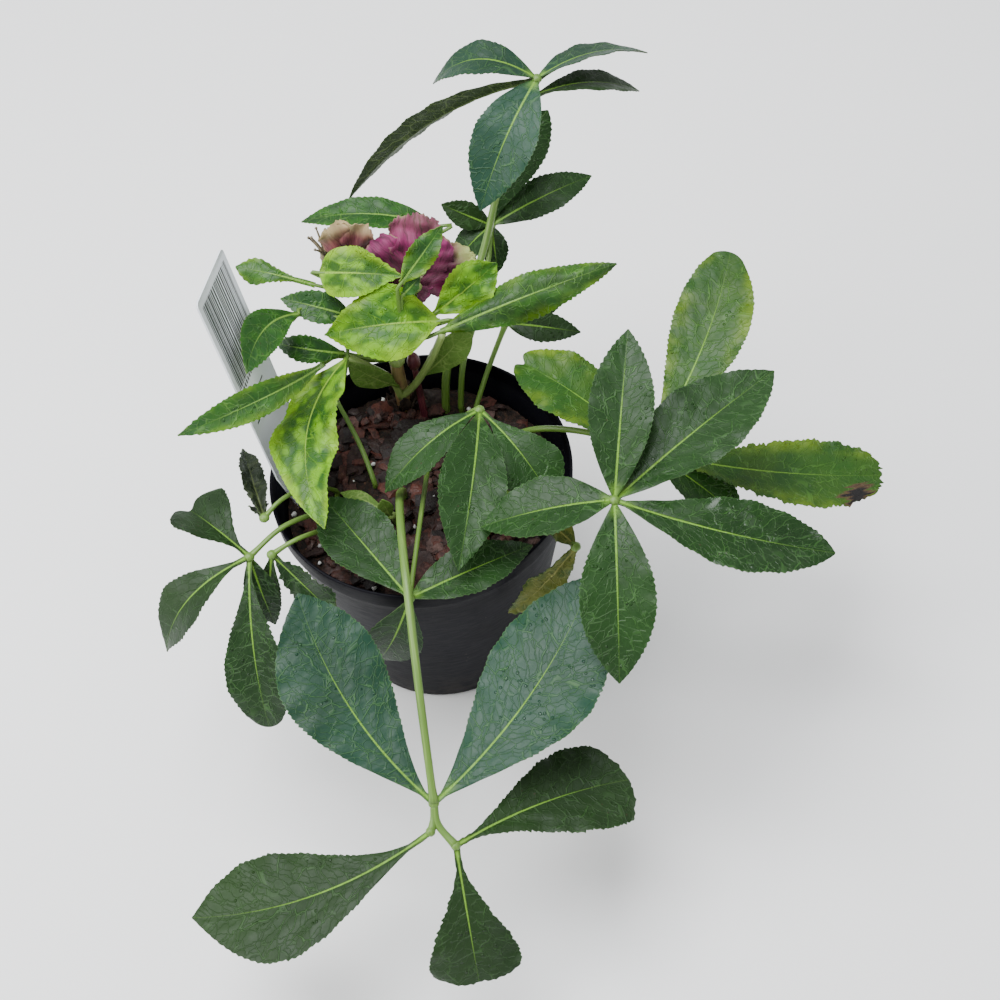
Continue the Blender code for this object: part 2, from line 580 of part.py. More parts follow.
# Soil: a turned plug with relief and bark chips on top, and holes for the stems.
BARK = material("bark_soil", (0.085, 0.036, 0.024), 0.90)
inner_slope = (INNER_TOP - INNER_LOW) / (LIP_LOW - 1.0 - FLOOR - 1.5)
soil_edge = INNER_LOW + inner_slope * (SOIL_TOP - FLOOR - 1.5) - SOIL_GAP
soil_profile = [(soil_edge * i / SOIL_RINGS, SOIL_TOP) for i in range(SOIL_RINGS)]
soil_profile += [(soil_edge, SOIL_TOP - 1.0), (INNER_LOW - SOIL_GAP - 0.2, FLOOR + 2.2),
                 (INNER_LOW - 2.5, FLOOR + SOIL_GAP), (0.0, FLOOR + SOIL_GAP)]
soil = turned("bark_soil", soil_profile, SOIL_STEPS)
for vert in soil.data.vertices:
    radius = math.hypot(vert.co.x, vert.co.y) / MM
    if vert.co.z > (SOIL_TOP - 0.5) * MM and radius < soil_edge - 2.0:
        vert.co.z += SOIL_RELIEF * noise.noise(vert.co * 55.0) * MM

random.seed(11)


def clear_of_stems(x, y, margin):
    """Whether a place on the soil is free of stems and of the label's slot."""
    if (Vector((x, y)) - Vector(LABEL_SLOT)).length < SLOT_REACH + margin:
        return False
    return all(math.hypot(x - fx, y - fy) > r + margin for fx, fy, r in FEET.values())


def chip(name, x, y, size, sink):
    """A rough block of bark, half sunk in the soil."""
    mesh = bpy.data.meshes.new(name)
    work = bmesh.new()
    bmesh.ops.create_cube(work, size=MM)
    bmesh.ops.scale(work, verts=work.verts, vec=size)
    for vert in work.verts:
        vert.co += Vector([random.uniform(-0.9, 0.9) for _ in range(3)]) * MM
    work.to_mesh(mesh)
    work.free()
    obj = add_object(name, mesh)
    obj.location = (x * MM, y * MM, (SOIL_TOP + size[2] / 2.0 - sink) * MM)
    tilts = [random.uniform(-0.4, 0.4) for _ in range(2)]
    obj.rotation_euler = (*tilts, random.uniform(0.0, math.pi))
    bpy.context.view_layer.update()
    return baked(obj)


chips = []
while len(chips) < CHIP_COUNT:
    reach = CHIP_REACH * math.sqrt(random.random())
    turn = random.uniform(0.0, 2.0 * math.pi)
    x, y = reach * math.cos(turn), reach * math.sin(turn)
    long_side = random.uniform(9.0, 21.0)
    if clear_of_stems(x, y, CHIP_KEEP_OUT):
        size = (long_side, random.uniform(6.0, 10.0), random.uniform(4.5, 7.0))
        chips.append(chip("chip" + str(len(chips)), x, y, size, 2.6))
soil = fuse("bark_soil", [soil] + chips)
holes = [rod("hole_" + name, x, y, LOW - 0.4, SOIL_TOP + 18.0, r + HOLE_CLEARANCE)
         for name, (x, y, r) in FEET.items()]
holes.append(label("label_slot", 0.5))
finish(cut(soil, holes), BARK)
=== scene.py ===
"""Looks of the potted hellebore: fine leaves, bracts, blooms, bark, pot and label round the CAD frame.

Lengths in the tables are millimetres in the frame's axes, as in the CAD source.
"""
import math

import bpy
import numpy as np
from mathutils import Matrix, Vector


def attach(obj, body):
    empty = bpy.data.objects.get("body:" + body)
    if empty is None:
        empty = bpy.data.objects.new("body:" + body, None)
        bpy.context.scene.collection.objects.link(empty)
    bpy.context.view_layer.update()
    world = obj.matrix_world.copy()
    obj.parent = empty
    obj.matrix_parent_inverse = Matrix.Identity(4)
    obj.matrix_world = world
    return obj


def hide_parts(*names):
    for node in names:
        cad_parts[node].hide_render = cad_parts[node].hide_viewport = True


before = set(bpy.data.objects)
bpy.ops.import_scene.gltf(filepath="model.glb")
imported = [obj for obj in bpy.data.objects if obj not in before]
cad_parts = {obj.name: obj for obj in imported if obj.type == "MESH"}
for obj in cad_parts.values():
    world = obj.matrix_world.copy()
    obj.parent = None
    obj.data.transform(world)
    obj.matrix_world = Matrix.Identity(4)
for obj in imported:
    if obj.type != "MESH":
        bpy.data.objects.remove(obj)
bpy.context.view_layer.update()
MM = 0.001
TAU = 2.0 * math.pi

# Camera: where it stands, how it looks and its lens
CAMERA_AIM = np.array((42.5, 85.7, 0.0))
CAMERA_DISTANCE = 958.0
CAMERA_PITCH = math.radians(53.9)
CAMERA_ROLL = math.radians(-5.5)
CAMERA_LENS = 50.4


def unit(v):
    v = np.asarray(v, float)
    return v / np.linalg.norm(v)


# Node helpers
class Nodes:
    """A material's node tree with short calls for maths and mixes."""

    def __init__(self, name):
        self.mat = bpy.data.materials.new(name)
        self.mat.use_nodes = True
        self.tree = self.mat.node_tree
        self.shader = self.tree.nodes["Principled BSDF"]

    def new(self, kind, **values):
        node = self.tree.nodes.new(kind)
        for key, value in values.items():
            setattr(node, key, value)
        return node

    def plug(self, value, socket):
        """Links a socket to the value, or sets it when the value is a number or a colour."""
        if isinstance(value, bpy.types.NodeSocket):
            self.tree.links.new(value, socket)
        elif hasattr(socket.default_value, "__len__") and not hasattr(value, "__len__"):
            socket.default_value = [value] * len(socket.default_value)
        elif hasattr(value, "__len__") and len(socket.default_value) == 4 and len(value) == 3:
            socket.default_value = (*value, 1.0)
        else:
            socket.default_value = value

    def math(self, operation, a, b=0.0, clamp=False):
        node = self.new("ShaderNodeMath", operation=operation, use_clamp=clamp)
        for value, socket in zip((a, b), node.inputs):
            self.plug(value, socket)
        return node.outputs[0]

    def times(self, a, b, clamp=False):
        return self.math("MULTIPLY", a, b, clamp)

    def plus(self, a, b, clamp=False):
        return self.math("ADD", a, b, clamp)

    def minus(self, a, b, clamp=False):
        return self.math("SUBTRACT", a, b, clamp)

    def most(self, a, b, clamp=False):
        return self.math("MAXIMUM", a, b, clamp)

    def size(self, a):
        return self.math("ABSOLUTE", a)

    def edge(self, s):
        """Nearness to the margin: 0 on the midrib and 1 at either edge, from s across the blade."""
        return self.size(self.minus(self.times(s, 2.0), 1.0))

    def mix(self, share, a, b, blend="MIX"):
        node = self.new("ShaderNodeMix", data_type="RGBA", blend_type=blend)
        self.plug(share, node.inputs[0])
        self.plug(a, node.inputs[6])
        self.plug(b, node.inputs[7])
        return node.outputs[2]

    def step(self, value, low, high, out_low=0.0, out_high=1.0):
        node = self.new("ShaderNodeMapRange", interpolation_type="SMOOTHSTEP")
        self.plug(value, node.inputs[0])
        for number, index in ((low, 1), (high, 2), (out_low, 3), (out_high, 4)):
            self.plug(number, node.inputs[index])
        return node.outputs[0]

    def vector(self, x, y, z=0.0):
        node = self.new("ShaderNodeCombineXYZ")
        for value, socket in zip((x, y, z), node.inputs):
            self.plug(value, socket)
        return node.outputs[0]

    def noise(self, where, scale, detail=4.0, rough=0.55):
        node = self.new("ShaderNodeTexNoise")
        self.plug(where, node.inputs["Vector"])
        self.plug(scale, node.inputs["Scale"])
        self.plug(detail, node.inputs["Detail"])
        self.plug(rough, node.inputs["Roughness"])
        return node.outputs[0]

    def cells(self, where, scale, feature="F1", random_share=1.0):
        node = self.new("ShaderNodeTexVoronoi", feature=feature)
        self.plug(where, node.inputs["Vector"])
        self.plug(scale, node.inputs["Scale"])
        self.plug(random_share, node.inputs["Randomness"])
        return node.outputs

    def value(self, name):
        return self.new("ShaderNodeAttribute", attribute_name=name).outputs["Fac"]

    def place(self):
        return self.new("ShaderNodeTexCoord").outputs["Object"]

    def uv(self, name):
        split = self.new("ShaderNodeSeparateXYZ")
        self.tree.links.new(self.new("ShaderNodeUVMap", uv_map=name).outputs[0], split.inputs[0])
        return split.outputs[0], split.outputs[1]

    def bump(self, height, strength=0.5, distance=0.4):
        node = self.new("ShaderNodeBump")
        self.plug(strength, node.inputs["Strength"])
        self.plug(distance * MM, node.inputs["Distance"])
        self.plug(height, node.inputs["Height"])
        self.plug(node.outputs[0], self.shader.inputs["Normal"])

    def finish(self, colour, roughness, **constants):
        self.plug(colour, self.shader.inputs["Base Color"])
        self.plug(roughness, self.shader.inputs["Roughness"])
        for key, value in constants.items():
            self.shader.inputs[key.replace("_", " ")].default_value = value
        return self.mat


VEIN_LEAN = math.radians(38.0)


def vein_net(n):
    """Masks of the midrib, the side veins and the fine net, from the blade's own measures in cm."""
    u, v = n.uv("metric")
    t, s = n.uv("unit")
    side = n.size(v)
    warp = n.noise(n.vector(u, v, n.value("tone")), 1.6, 2.0)
    warp = n.times(n.minus(warp, 0.5), 0.50)
    lean_along, lean_across = math.cos(VEIN_LEAN), math.sin(VEIN_LEAN)
    along = n.plus(n.times(u, lean_along), n.times(side, lean_across))
    across = n.minus(n.times(side, lean_along), n.times(u, lean_across))
    along, across = n.plus(along, warp), n.plus(across, warp)
    half = n.times(n.math("SIGN", v), 7.3)  # the two halves show different cells

    def net(per_along, per_across, thin, wide):
        where = n.vector(n.times(along, per_along), n.times(across, per_across), half)
        return n.step(n.cells(where, 1.0, "DISTANCE_TO_EDGE")[0], thin, wide, 1.0, 0.0)

    fade = n.step(t, 0.0, 0.85, 1.0, 0.35)
    rib = n.step(side, n.times(fade, 0.030), n.times(fade, 0.095), 1.0, 0.0)
    rib = n.times(rib, n.step(t, 0.40, 0.92, 1.0, 0.12))
    main = net(0.50, 1.30, 0.006, 0.034)
    small = net(1.4, 2.6, 0.010, 0.060)
    fine = net(4.6, 5.6, 0.02, 0.16)
    return u, v, t, s, rib, main, small, fine


def leaf_material(name, dark, light, vein, rib_colour, yellow, gloss=0.42, net_share=0.30, mottle=0.0,
                  blotch=None):
    """A net-veined blade. Its marks say how pale, yellow, burnt and wet each leaflet is."""
    n = Nodes(name)
    u, v, t, s, rib, main, net, fine = vein_net(n)
    place = n.place()
    tone = n.value("tone")
    patches = n.noise(place, 26.0, 3.0)
    cloud = n.plus(n.times(n.minus(patches, 0.5), 1.3), tone, clamp=True)
    colour = n.mix(cloud, dark, light)
    edge = n.edge(s)
    if mottle:
        lumps = n.cells(n.vector(n.times(u, 1.3), n.times(v, 2.0), tone), 1.0, "SMOOTH_F1")[0]
        lumps = n.plus(lumps, n.times(n.noise(place, 85.0, 4.0), 1.1))
        margin = n.times(n.step(edge, 0.70, 1.0), 0.8)
        zone = n.plus(n.step(lumps, 0.72, 1.12, 1.0, 0.0), margin)
        colour = n.mix(n.times(zone, mottle, clamp=True), colour, blotch)
    ageing = n.plus(0.15, n.step(edge, 0.45, 1.0))
    ageing = n.times(n.value("yellow"), ageing, clamp=True)
    colour = n.mix(n.times(ageing, n.step(n.noise(place, 60.0), 0.34, 0.66)), colour, yellow)
    veins = n.most(n.times(main, 0.46), n.times(net, net_share))
    veins = n.most(veins, n.times(fine, 0.08))
    veins = n.times(veins, n.step(n.noise(place, 90.0, 2.0), 0.30, 0.70, 0.45, 1.0))
    colour = n.mix(veins, colour, vein)
    colour = n.mix(n.times(rib, 0.90), colour, rib_colour)
    root = n.times(n.step(t, 0.02, 0.12, 0.75, 0.0), n.step(edge, 0.2, 0.9, 1.0, 0.3))
    colour = n.mix(root, colour, rib_colour)
    colour = n.mix(n.step(edge, 0.975, 1.0, 0.0, 0.45), colour, vein)
    freckles = n.step(n.cells(place, 210.0)[0], 0.05, 0.14, 0.6, 0.0)
    freckles = n.times(freckles, n.step(n.noise(place, 35.0), 0.58, 0.64))
    colour = n.mix(freckles, colour, (0.040, 0.022, 0.010))
    burn = n.value("burn")
    colour = n.mix(n.step(burn, 0.30, 0.55), colour, (0.070, 0.040, 0.018))
    colour = n.mix(n.step(burn, 0.50, 0.75), colour, (0.006, 0.005, 0.005))
    raised = n.minus(n.times(n.noise(place, 900.0, 2.0), 0.20), n.times(rib, 0.5))
    raised = n.minus(raised, n.most(main, n.times(net, 0.7)))
    drops = n.step(n.cells(place, 300.0)[0], 0.14, 0.30, 1.0, 0.0)
    drops = n.times(drops, n.step(n.noise(place, 48.0), 0.56, 0.62))
    film = n.times(n.value("wet"), n.step(n.noise(place, 38.0, 4.0), 0.44, 0.56))
    wetness = n.most(n.times(drops, 0.8), film, clamp=True)
    raised = n.plus(raised, n.times(drops, 2.2))
    rough = n.step(n.noise(place, 140.0, 3.0), 0.30, 0.75, gloss, gloss + 0.14)
    rough = n.minus(rough, n.times(wetness, gloss * 0.72), clamp=True)
    n.bump(raised, 0.8, 0.38)
    return n.finish(colour, rough, Specular_IOR_Level=0.26, Coat_Weight=0.04, Coat_Roughness=0.25)


def under_material(name, base, vein):
    """The paler matt underside of a blade."""
    n = Nodes(name)
    *_, rib, main, net, fine = vein_net(n)
    colour = n.mix(n.noise(n.place(), 30.0, 3.0), [c * 0.75 for c in base], [c * 1.2 for c in base])
    veins = n.most(n.times(main, 0.6), n.times(net, 0.3))
    colour = n.mix(n.most(veins, rib), colour, vein)
    n.bump(n.plus(veins, n.times(fine, 0.4)), 0.8, 0.3)
    return n.finish(colour, n.step(n.noise(n.place(), 120.0), 0.3, 0.7, 0.50, 0.66), Specular_IOR_Level=0.25)


def stalk_material(name, low, high, streak, blush=None, blush_share=0.0):
    """A stalk with streaks along it, specks and an optional blush."""
    n = Nodes(name)
    place = n.place()
    around, along = n.uv("metric")
    lines = n.noise(n.vector(n.times(around, 9.0), n.times(along, 0.35)), 1.0, 3.0)
    colour = n.mix(n.noise(place, 22.0, 2.0), low, high)
    colour = n.mix(n.step(lines, 0.48, 0.66, 0.0, 0.55), colour, streak)
    if blush:
        patch = n.step(n.noise(place, 70.0, 3.0), 0.42, 0.62, 0.0, blush_share)
        colour = n.mix(patch, colour, blush)
    specks = n.step(n.cells(place, 420.0)[0], 0.06, 0.13, 0.5, 0.0)
    colour = n.mix(n.times(specks, n.step(n.noise(place, 60.0), 0.55, 0.6)), colour, (0.06, 0.04, 0.02))
    n.bump(n.plus(lines, n.times(n.noise(place, 700.0), 0.2)), 0.4, 0.3)
    return n.finish(colour, n.step(lines, 0.3, 0.7, 0.36, 0.52), Specular_IOR_Level=0.5)


def sepal_material(name, deep, mid, pale, vein, tip_colour):
    """A sepal with wandering veins that fan out from its root."""
    n = Nodes(name)
    u, v = n.uv("metric")
    t, s = n.uv("unit")
    place = n.place()
    fan = n.math("DIVIDE", n.minus(s, 0.5), n.plus(0.35, n.times(t, 0.25)))
    wander = n.times(n.noise(n.vector(u, v, n.value("tone")), 1.3, 3.0), 0.32)
    fan = n.plus(fan, wander)
    lines = n.noise(n.vector(n.times(fan, 9.5), n.times(u, 0.55), n.value("tone")), 1.4, 4.0, 0.65)
    patches = n.noise(place, 55.0, 4.0)
    colour = n.mix(n.step(patches, 0.32, 0.68), deep, mid)
    colour = n.mix(n.step(n.plus(n.times(t, 0.7), n.times(patches, 0.6)), 0.62, 1.25), colour, pale)
    colour = n.mix(n.step(lines, 0.46, 0.66, 0.0, 0.75), colour, vein)
    colour = n.mix(n.step(lines, 0.44, 0.28, 0.0, 0.28), colour, pale)
    colour = n.mix(n.times(n.value("yellow"), n.step(t, 0.62, 0.95)), colour, tip_colour)
    edge = n.edge(s)
    rim = n.most(n.step(edge, 0.92, 1.0, 0.0, 0.4), n.step(t, 0.95, 1.0, 0.0, 0.4))
    colour = n.mix(n.times(rim, n.step(patches, 0.45, 0.6)), colour, tip_colour)
    n.bump(n.plus(lines, n.times(n.noise(place, 260.0, 4.0), 0.6)), 0.8, 0.5)
    return n.finish(colour, n.step(lines, 0.3, 0.7, 0.50, 0.66), Specular_IOR_Level=0.35,
                    Subsurface_Weight=0.10, Subsurface_Radius=(0.004, 0.001, 0.002), Sheen_Weight=0.12)


def dry_material(name, low, high):
    """A dull, grainy surface."""
    n = Nodes(name)
    place = n.place()
    grain = n.noise(place, 160.0, 5.0, 0.7)
    colour = n.mix(n.step(grain, 0.3, 0.7), low, high)
    n.bump(grain, 0.8, 0.5)
    return n.finish(colour, n.step(grain, 0.3, 0.7, 0.65, 0.85))


def bark_material(name):
    """Split bark, from near black to red brown and grey."""
    n = Nodes(name)
    place = n.place()
    tone = n.value("tone")
    hue = n.value("yellow")
    grain = n.noise(place, 240.0, 6.0, 0.68)
    flakes = n.cells(place, 130.0, "F1")[0]
    colour = n.mix(n.step(tone, 0.0, 1.0), (0.010, 0.004, 0.003), (0.095, 0.024, 0.014))
    colour = n.mix(n.step(hue, 0.78, 0.97, 0.0, 0.70), colour, (0.130, 0.075, 0.062))
    colour = n.mix(n.step(hue, 0.28, 0.08, 0.0, 0.85), colour, (0.006, 0.004, 0.004))
    colour = n.mix(n.step(grain, 0.42, 0.66, 0.0, 0.80), colour, (0.010, 0.005, 0.004))
    colour = n.mix(n.step(grain, 0.38, 0.24, 0.0, 0.50), colour, (0.180, 0.070, 0.042))
    damp = n.step(n.noise(place, 40.0, 2.0), 0.42, 0.62)
    n.bump(n.plus(grain, n.times(flakes, 0.7)), 0.9, 0.9)
    return n.finish(colour, n.minus(n.step(grain, 0.3, 0.7, 0.62, 0.86), n.times(damp, 0.26)),
                    Specular_IOR_Level=0.45)


def compost_material(name):
    """Dark, rough compost with pale fibres."""
    n = Nodes(name)
    place = n.place()
    grain = n.noise(place, 330.0, 7.0, 0.75)
    colour = n.mix(n.step(grain, 0.38, 0.66), (0.006, 0.005, 0.004), (0.050, 0.026, 0.017))
    fibres = n.noise(n.mix(0.5, place, n.vector(0.0, 0.0, 1.0)), 620.0, 3.0)
    colour = n.mix(n.step(fibres, 0.60, 0.72, 0.0, 0.6), colour, (0.12, 0.06, 0.035))
    n.bump(grain, 1.0, 1.2)
    return n.finish(colour, n.step(grain, 0.3, 0.7, 0.70, 0.92), Specular_IOR_Level=0.3)


def plastic_material(name, colour_low, colour_high, rough, dust=0.0, shine=0.5):
    """Smooth plastic with scuffs, and soil dust low down where dust is given."""
    n = Nodes(name)
    place = n.place()
    cloud = n.noise(place, 18.0, 4.0)
    colour = n.mix(n.step(cloud, 0.35, 0.70), colour_low, colour_high)
    split = n.new("ShaderNodeSeparateXYZ")
    n.plug(place, split.inputs[0])
    scuffs = n.noise(n.vector(split.outputs[0], split.outputs[1],
                              n.times(split.outputs[2], 9.0)), 110.0, 5.0, 0.7)
    if dust:
        low = n.step(split.outputs[2], 0.045, 0.0, 0.0, dust)
        soiled = n.times(low, n.step(n.noise(place, 150.0, 5.0), 0.42, 0.62))
        colour = n.mix(soiled, colour, (0.090, 0.070, 0.055))
        colour = n.mix(n.step(scuffs, 0.62, 0.72, 0.0, 0.16), colour, (0.050, 0.050, 0.060))
        spots = n.step(n.cells(place, 150.0)[0], 0.03, 0.09, 0.55, 0.0)
        colour = n.mix(n.times(spots, n.step(cloud, 0.5, 0.6)), colour, (0.09, 0.075, 0.06))
    n.bump(n.plus(n.noise(place, 1400.0, 2.0), scuffs), 0.18, 0.12)
    return n.finish(colour, n.step(scuffs, 0.3, 0.7, rough, rough + 0.14), Specular_IOR_Level=shine)


# Colours of veins, midribs and ageing, then each surface's material
VEIN = (0.058, 0.150, 0.034)
VEIN_DARK = (0.036, 0.098, 0.022)
RIB = (0.160, 0.330, 0.030)
YELLOW = (0.170, 0.270, 0.004)
LEAF_TEAL = leaf_material("leaf_teal_top", (0.003, 0.021, 0.008), (0.010, 0.050, 0.028), VEIN, RIB,
    YELLOW)
LEAF_GREEN = leaf_material("leaf_green_top", (0.002, 0.015, 0.001), (0.010, 0.046, 0.004), VEIN, RIB,
    YELLOW, gloss=0.40)
LEAF_OLIVE = leaf_material("leaf_olive_top", (0.003, 0.016, 0.001), (0.011, 0.038, 0.003), VEIN_DARK, RIB,
    YELLOW, gloss=0.48, net_share=0.22)
LEAF_LIME = leaf_material("leaf_lime_top", (0.004, 0.030, 0.001), (0.016, 0.078, 0.003),
    (0.075, 0.190, 0.025), RIB, YELLOW, gloss=0.40)
LEAF_OLD = leaf_material("leaf_old_top", (0.003, 0.007, 0.002), (0.010, 0.020, 0.006), (0.05, 0.07, 0.02),
    (0.06, 0.08, 0.02), (0.06, 0.04, 0.01), gloss=0.5)
LEAF_DYING = leaf_material("leaf_dying_top", (0.055, 0.068, 0.004), (0.130, 0.150, 0.012),
    (0.24, 0.24, 0.06), (0.24, 0.24, 0.06), (0.12, 0.06, 0.02), gloss=0.55, mottle=0.8,
    blotch=(0.024, 0.060, 0.004))
BRACT_LIME = leaf_material("bract_lime_top", (0.006, 0.058, 0.003), (0.026, 0.120, 0.004),
    (0.170, 0.370, 0.015), (0.250, 0.430, 0.040), (0.240, 0.390, 0.003), gloss=0.38, net_share=0.18,
    mottle=0.85, blotch=(0.130, 0.330, 0.002))
BRACT_GREEN = leaf_material("bract_green_top", (0.004, 0.030, 0.003), (0.015, 0.075, 0.010),
    (0.100, 0.240, 0.030), (0.190, 0.360, 0.050), (0.190, 0.340, 0.004), gloss=0.36, net_share=0.20,
    mottle=0.25, blotch=(0.040, 0.170, 0.005))
UNDER = under_material("leaf_under", (0.022, 0.046, 0.010), (0.12, 0.18, 0.05))
UNDER_BRACT = under_material("bract_under", (0.095, 0.190, 0.028), (0.22, 0.33, 0.08))
STALK = stalk_material("stalk_green", (0.065, 0.150, 0.016), (0.130, 0.240, 0.035), (0.20, 0.31, 0.07))
STALK_PALE = stalk_material("stalk_pale", (0.15, 0.25, 0.05), (0.26, 0.36, 0.10), (0.34, 0.42, 0.17))
STALK_TAN = stalk_material("stalk_tan", (0.22, 0.17, 0.06), (0.34, 0.25, 0.10), (0.40, 0.32, 0.15),
    (0.16, 0.05, 0.03), 0.5)
STALK_RED = stalk_material("stalk_red", (0.070, 0.008, 0.016), (0.140, 0.020, 0.035), (0.20, 0.07, 0.07),
    (0.030, 0.004, 0.008), 0.7)
PLUM = sepal_material("sepal_plum", (0.046, 0.001, 0.013), (0.150, 0.003, 0.052), (0.240, 0.014, 0.110),
    (0.024, 0.001, 0.007), (0.30, 0.34, 0.10))
DUSTY = sepal_material("sepal_dusty", (0.090, 0.012, 0.022), (0.230, 0.055, 0.060), (0.360, 0.200, 0.120),
    (0.070, 0.006, 0.018), (0.40, 0.32, 0.15))
DRIED = dry_material("dried_brown", (0.045, 0.032, 0.018), (0.260, 0.215, 0.130))
DRIED_DARK = dry_material("dried_dark", (0.008, 0.005, 0.003), (0.050, 0.028, 0.016))
BARK = bark_material("bark_chip")
COMPOST = compost_material("compost")
PERLITE = dry_material("perlite", (0.50, 0.50, 0.47), (0.80, 0.80, 0.78))
POT = plastic_material("pot_charcoal", (0.0024, 0.0023, 0.0042), (0.0042, 0.0040, 0.0070), 0.46,
    dust=0.15, shine=0.08)
LABEL_WHITE = plastic_material("label_white", (0.86, 0.91, 0.95), (0.91, 0.95, 0.98), 0.30)
LABEL_INK = plastic_material("label_ink", (0.008, 0.008, 0.010), (0.016, 0.016, 0.020), 0.40)


# Mesh building
class Piece:
    """Collects grids of faces with their measures and attributes, then makes one mesh object."""

    def __init__(self, name):
        self.name = name
        self.points = []
        self.quads = []
        self.metric = []
        self.unit = []
        self.marks = {"tone": [], "yellow": [], "burn": [], "wet": []}
        self.slots = []
        self.mats = []
        self.angular = None  # the material whose faces are shaded flat
        self.count = 0

    def add(self, points, quads, metric, unit_uv, mat, tone=0.5, yellow=0.0, burn=0.0, wet=0.0):
        if mat not in self.mats:
            self.mats.append(mat)
        size = len(points)
        self.points.append(points)
        self.quads.append(np.asarray(quads) + self.count)
        self.metric.append(metric)
        self.unit.append(unit_uv)
        for key, value in (("tone", tone), ("yellow", yellow), ("burn", burn), ("wet", wet)):
            self.marks[key].append(np.broadcast_to(np.asarray(value, float), (size,)).copy())
        self.slots.append(np.full(len(quads), self.mats.index(mat)))
        self.count += size

    def build(self, replaces):
        points = np.concatenate(self.points) * MM
        quads = np.concatenate(self.quads)
        mesh = bpy.data.meshes.new(self.name)
        mesh.vertices.add(len(points))
        mesh.vertices.foreach_set("co", points.astype(np.float32).ravel())
        mesh.loops.add(len(quads) * 4)
        mesh.loops.foreach_set("vertex_index", quads.astype(np.int32).ravel())
        mesh.polygons.add(len(quads))
        mesh.polygons.foreach_set("loop_start", (np.arange(len(quads)) * 4).astype(np.int32))
        mesh.polygons.foreach_set("material_index", np.concatenate(self.slots).astype(np.int32))
        mesh.update(calc_edges=True)
        for name, values in (("metric", self.metric), ("unit", self.unit)):
            layer = mesh.uv_layers.new(name=name)
            layer.data.foreach_set("uv", np.concatenate(values)[quads.ravel()].astype(np.float32).ravel())
        for key, values in self.marks.items():
            attribute = mesh.attributes.new(key, "FLOAT", "POINT")
            attribute.data.foreach_set("value", np.concatenate(values).astype(np.float32))
        for mat in self.mats:
            mesh.materials.append(mat)
        mesh.validate()
        mesh.shade_smooth()
        if self.angular:
            rough = np.concatenate(self.slots) != self.mats.index(self.angular)
            mesh.polygons.foreach_set("use_smooth", rough)
        obj = bpy.data.objects.new(self.name, mesh)
        bpy.context.scene.collection.objects.link(obj)
        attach(obj, "root")
        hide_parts(replaces)
        return obj


def grid_quads(rows, columns, wrap=False):
    """Faces of a grid of rows by columns points, closed round its columns with wrap."""
    i, j = np.meshgrid(np.arange(rows - 1), np.arange(columns if wrap else columns - 1), indexing="ij")
    k = (j + 1) % columns
    here, below = i * columns, (i + 1) * columns
    return np.stack([here + j, here + k, below + k, below + j], -1).reshape(-1, 4)


def closed_quads(rows, sides, inward=False):
    """Faces of a grid wrapped round its sides, with its first and last rings closed."""
    quads = list(grid_quads(rows, sides, wrap=True))
    for start, forward in ((0, False), ((rows - 1) * sides, True)):
        for k in range(sides // 2 - 1):
            face = [start + k, start + k + 1, start + sides - 2 - k, start + sides - 1 - k]
            quads.append(face if forward else face[::-1])
    quads = np.array(quads)
    return quads[:, ::-1] if inward else quads


def ripple(seed, where, size):
    """Smooth noise from a few sines, between -1 and 1."""
    rng = np.random.RandomState(seed)
    total = np.zeros(where[0].shape)
    for _ in range(6):
        a, b, c = rng.normal(0.0, 1.0, 3) / size
        total += np.sin(a * where[0] * TAU + b * where[1] * TAU + c * 3.0 + rng.uniform(0.0, TAU))
    return total / 4.0


BLADE_THICK = 0.34
RIB_KEEL = 1.5
TOOTH_PITCH = 3.1
TOOTH_SIZE = 0.95
ROW_STEP = 0.95
COLUMN_STEP = 1.5


def outline(t, peak):
    """Half width of a leaflet at t along it, as a share of its widest, which lies at peak."""
    return np.sin(math.pi * t ** (math.log(0.5) / math.log(peak))).clip(0.0)


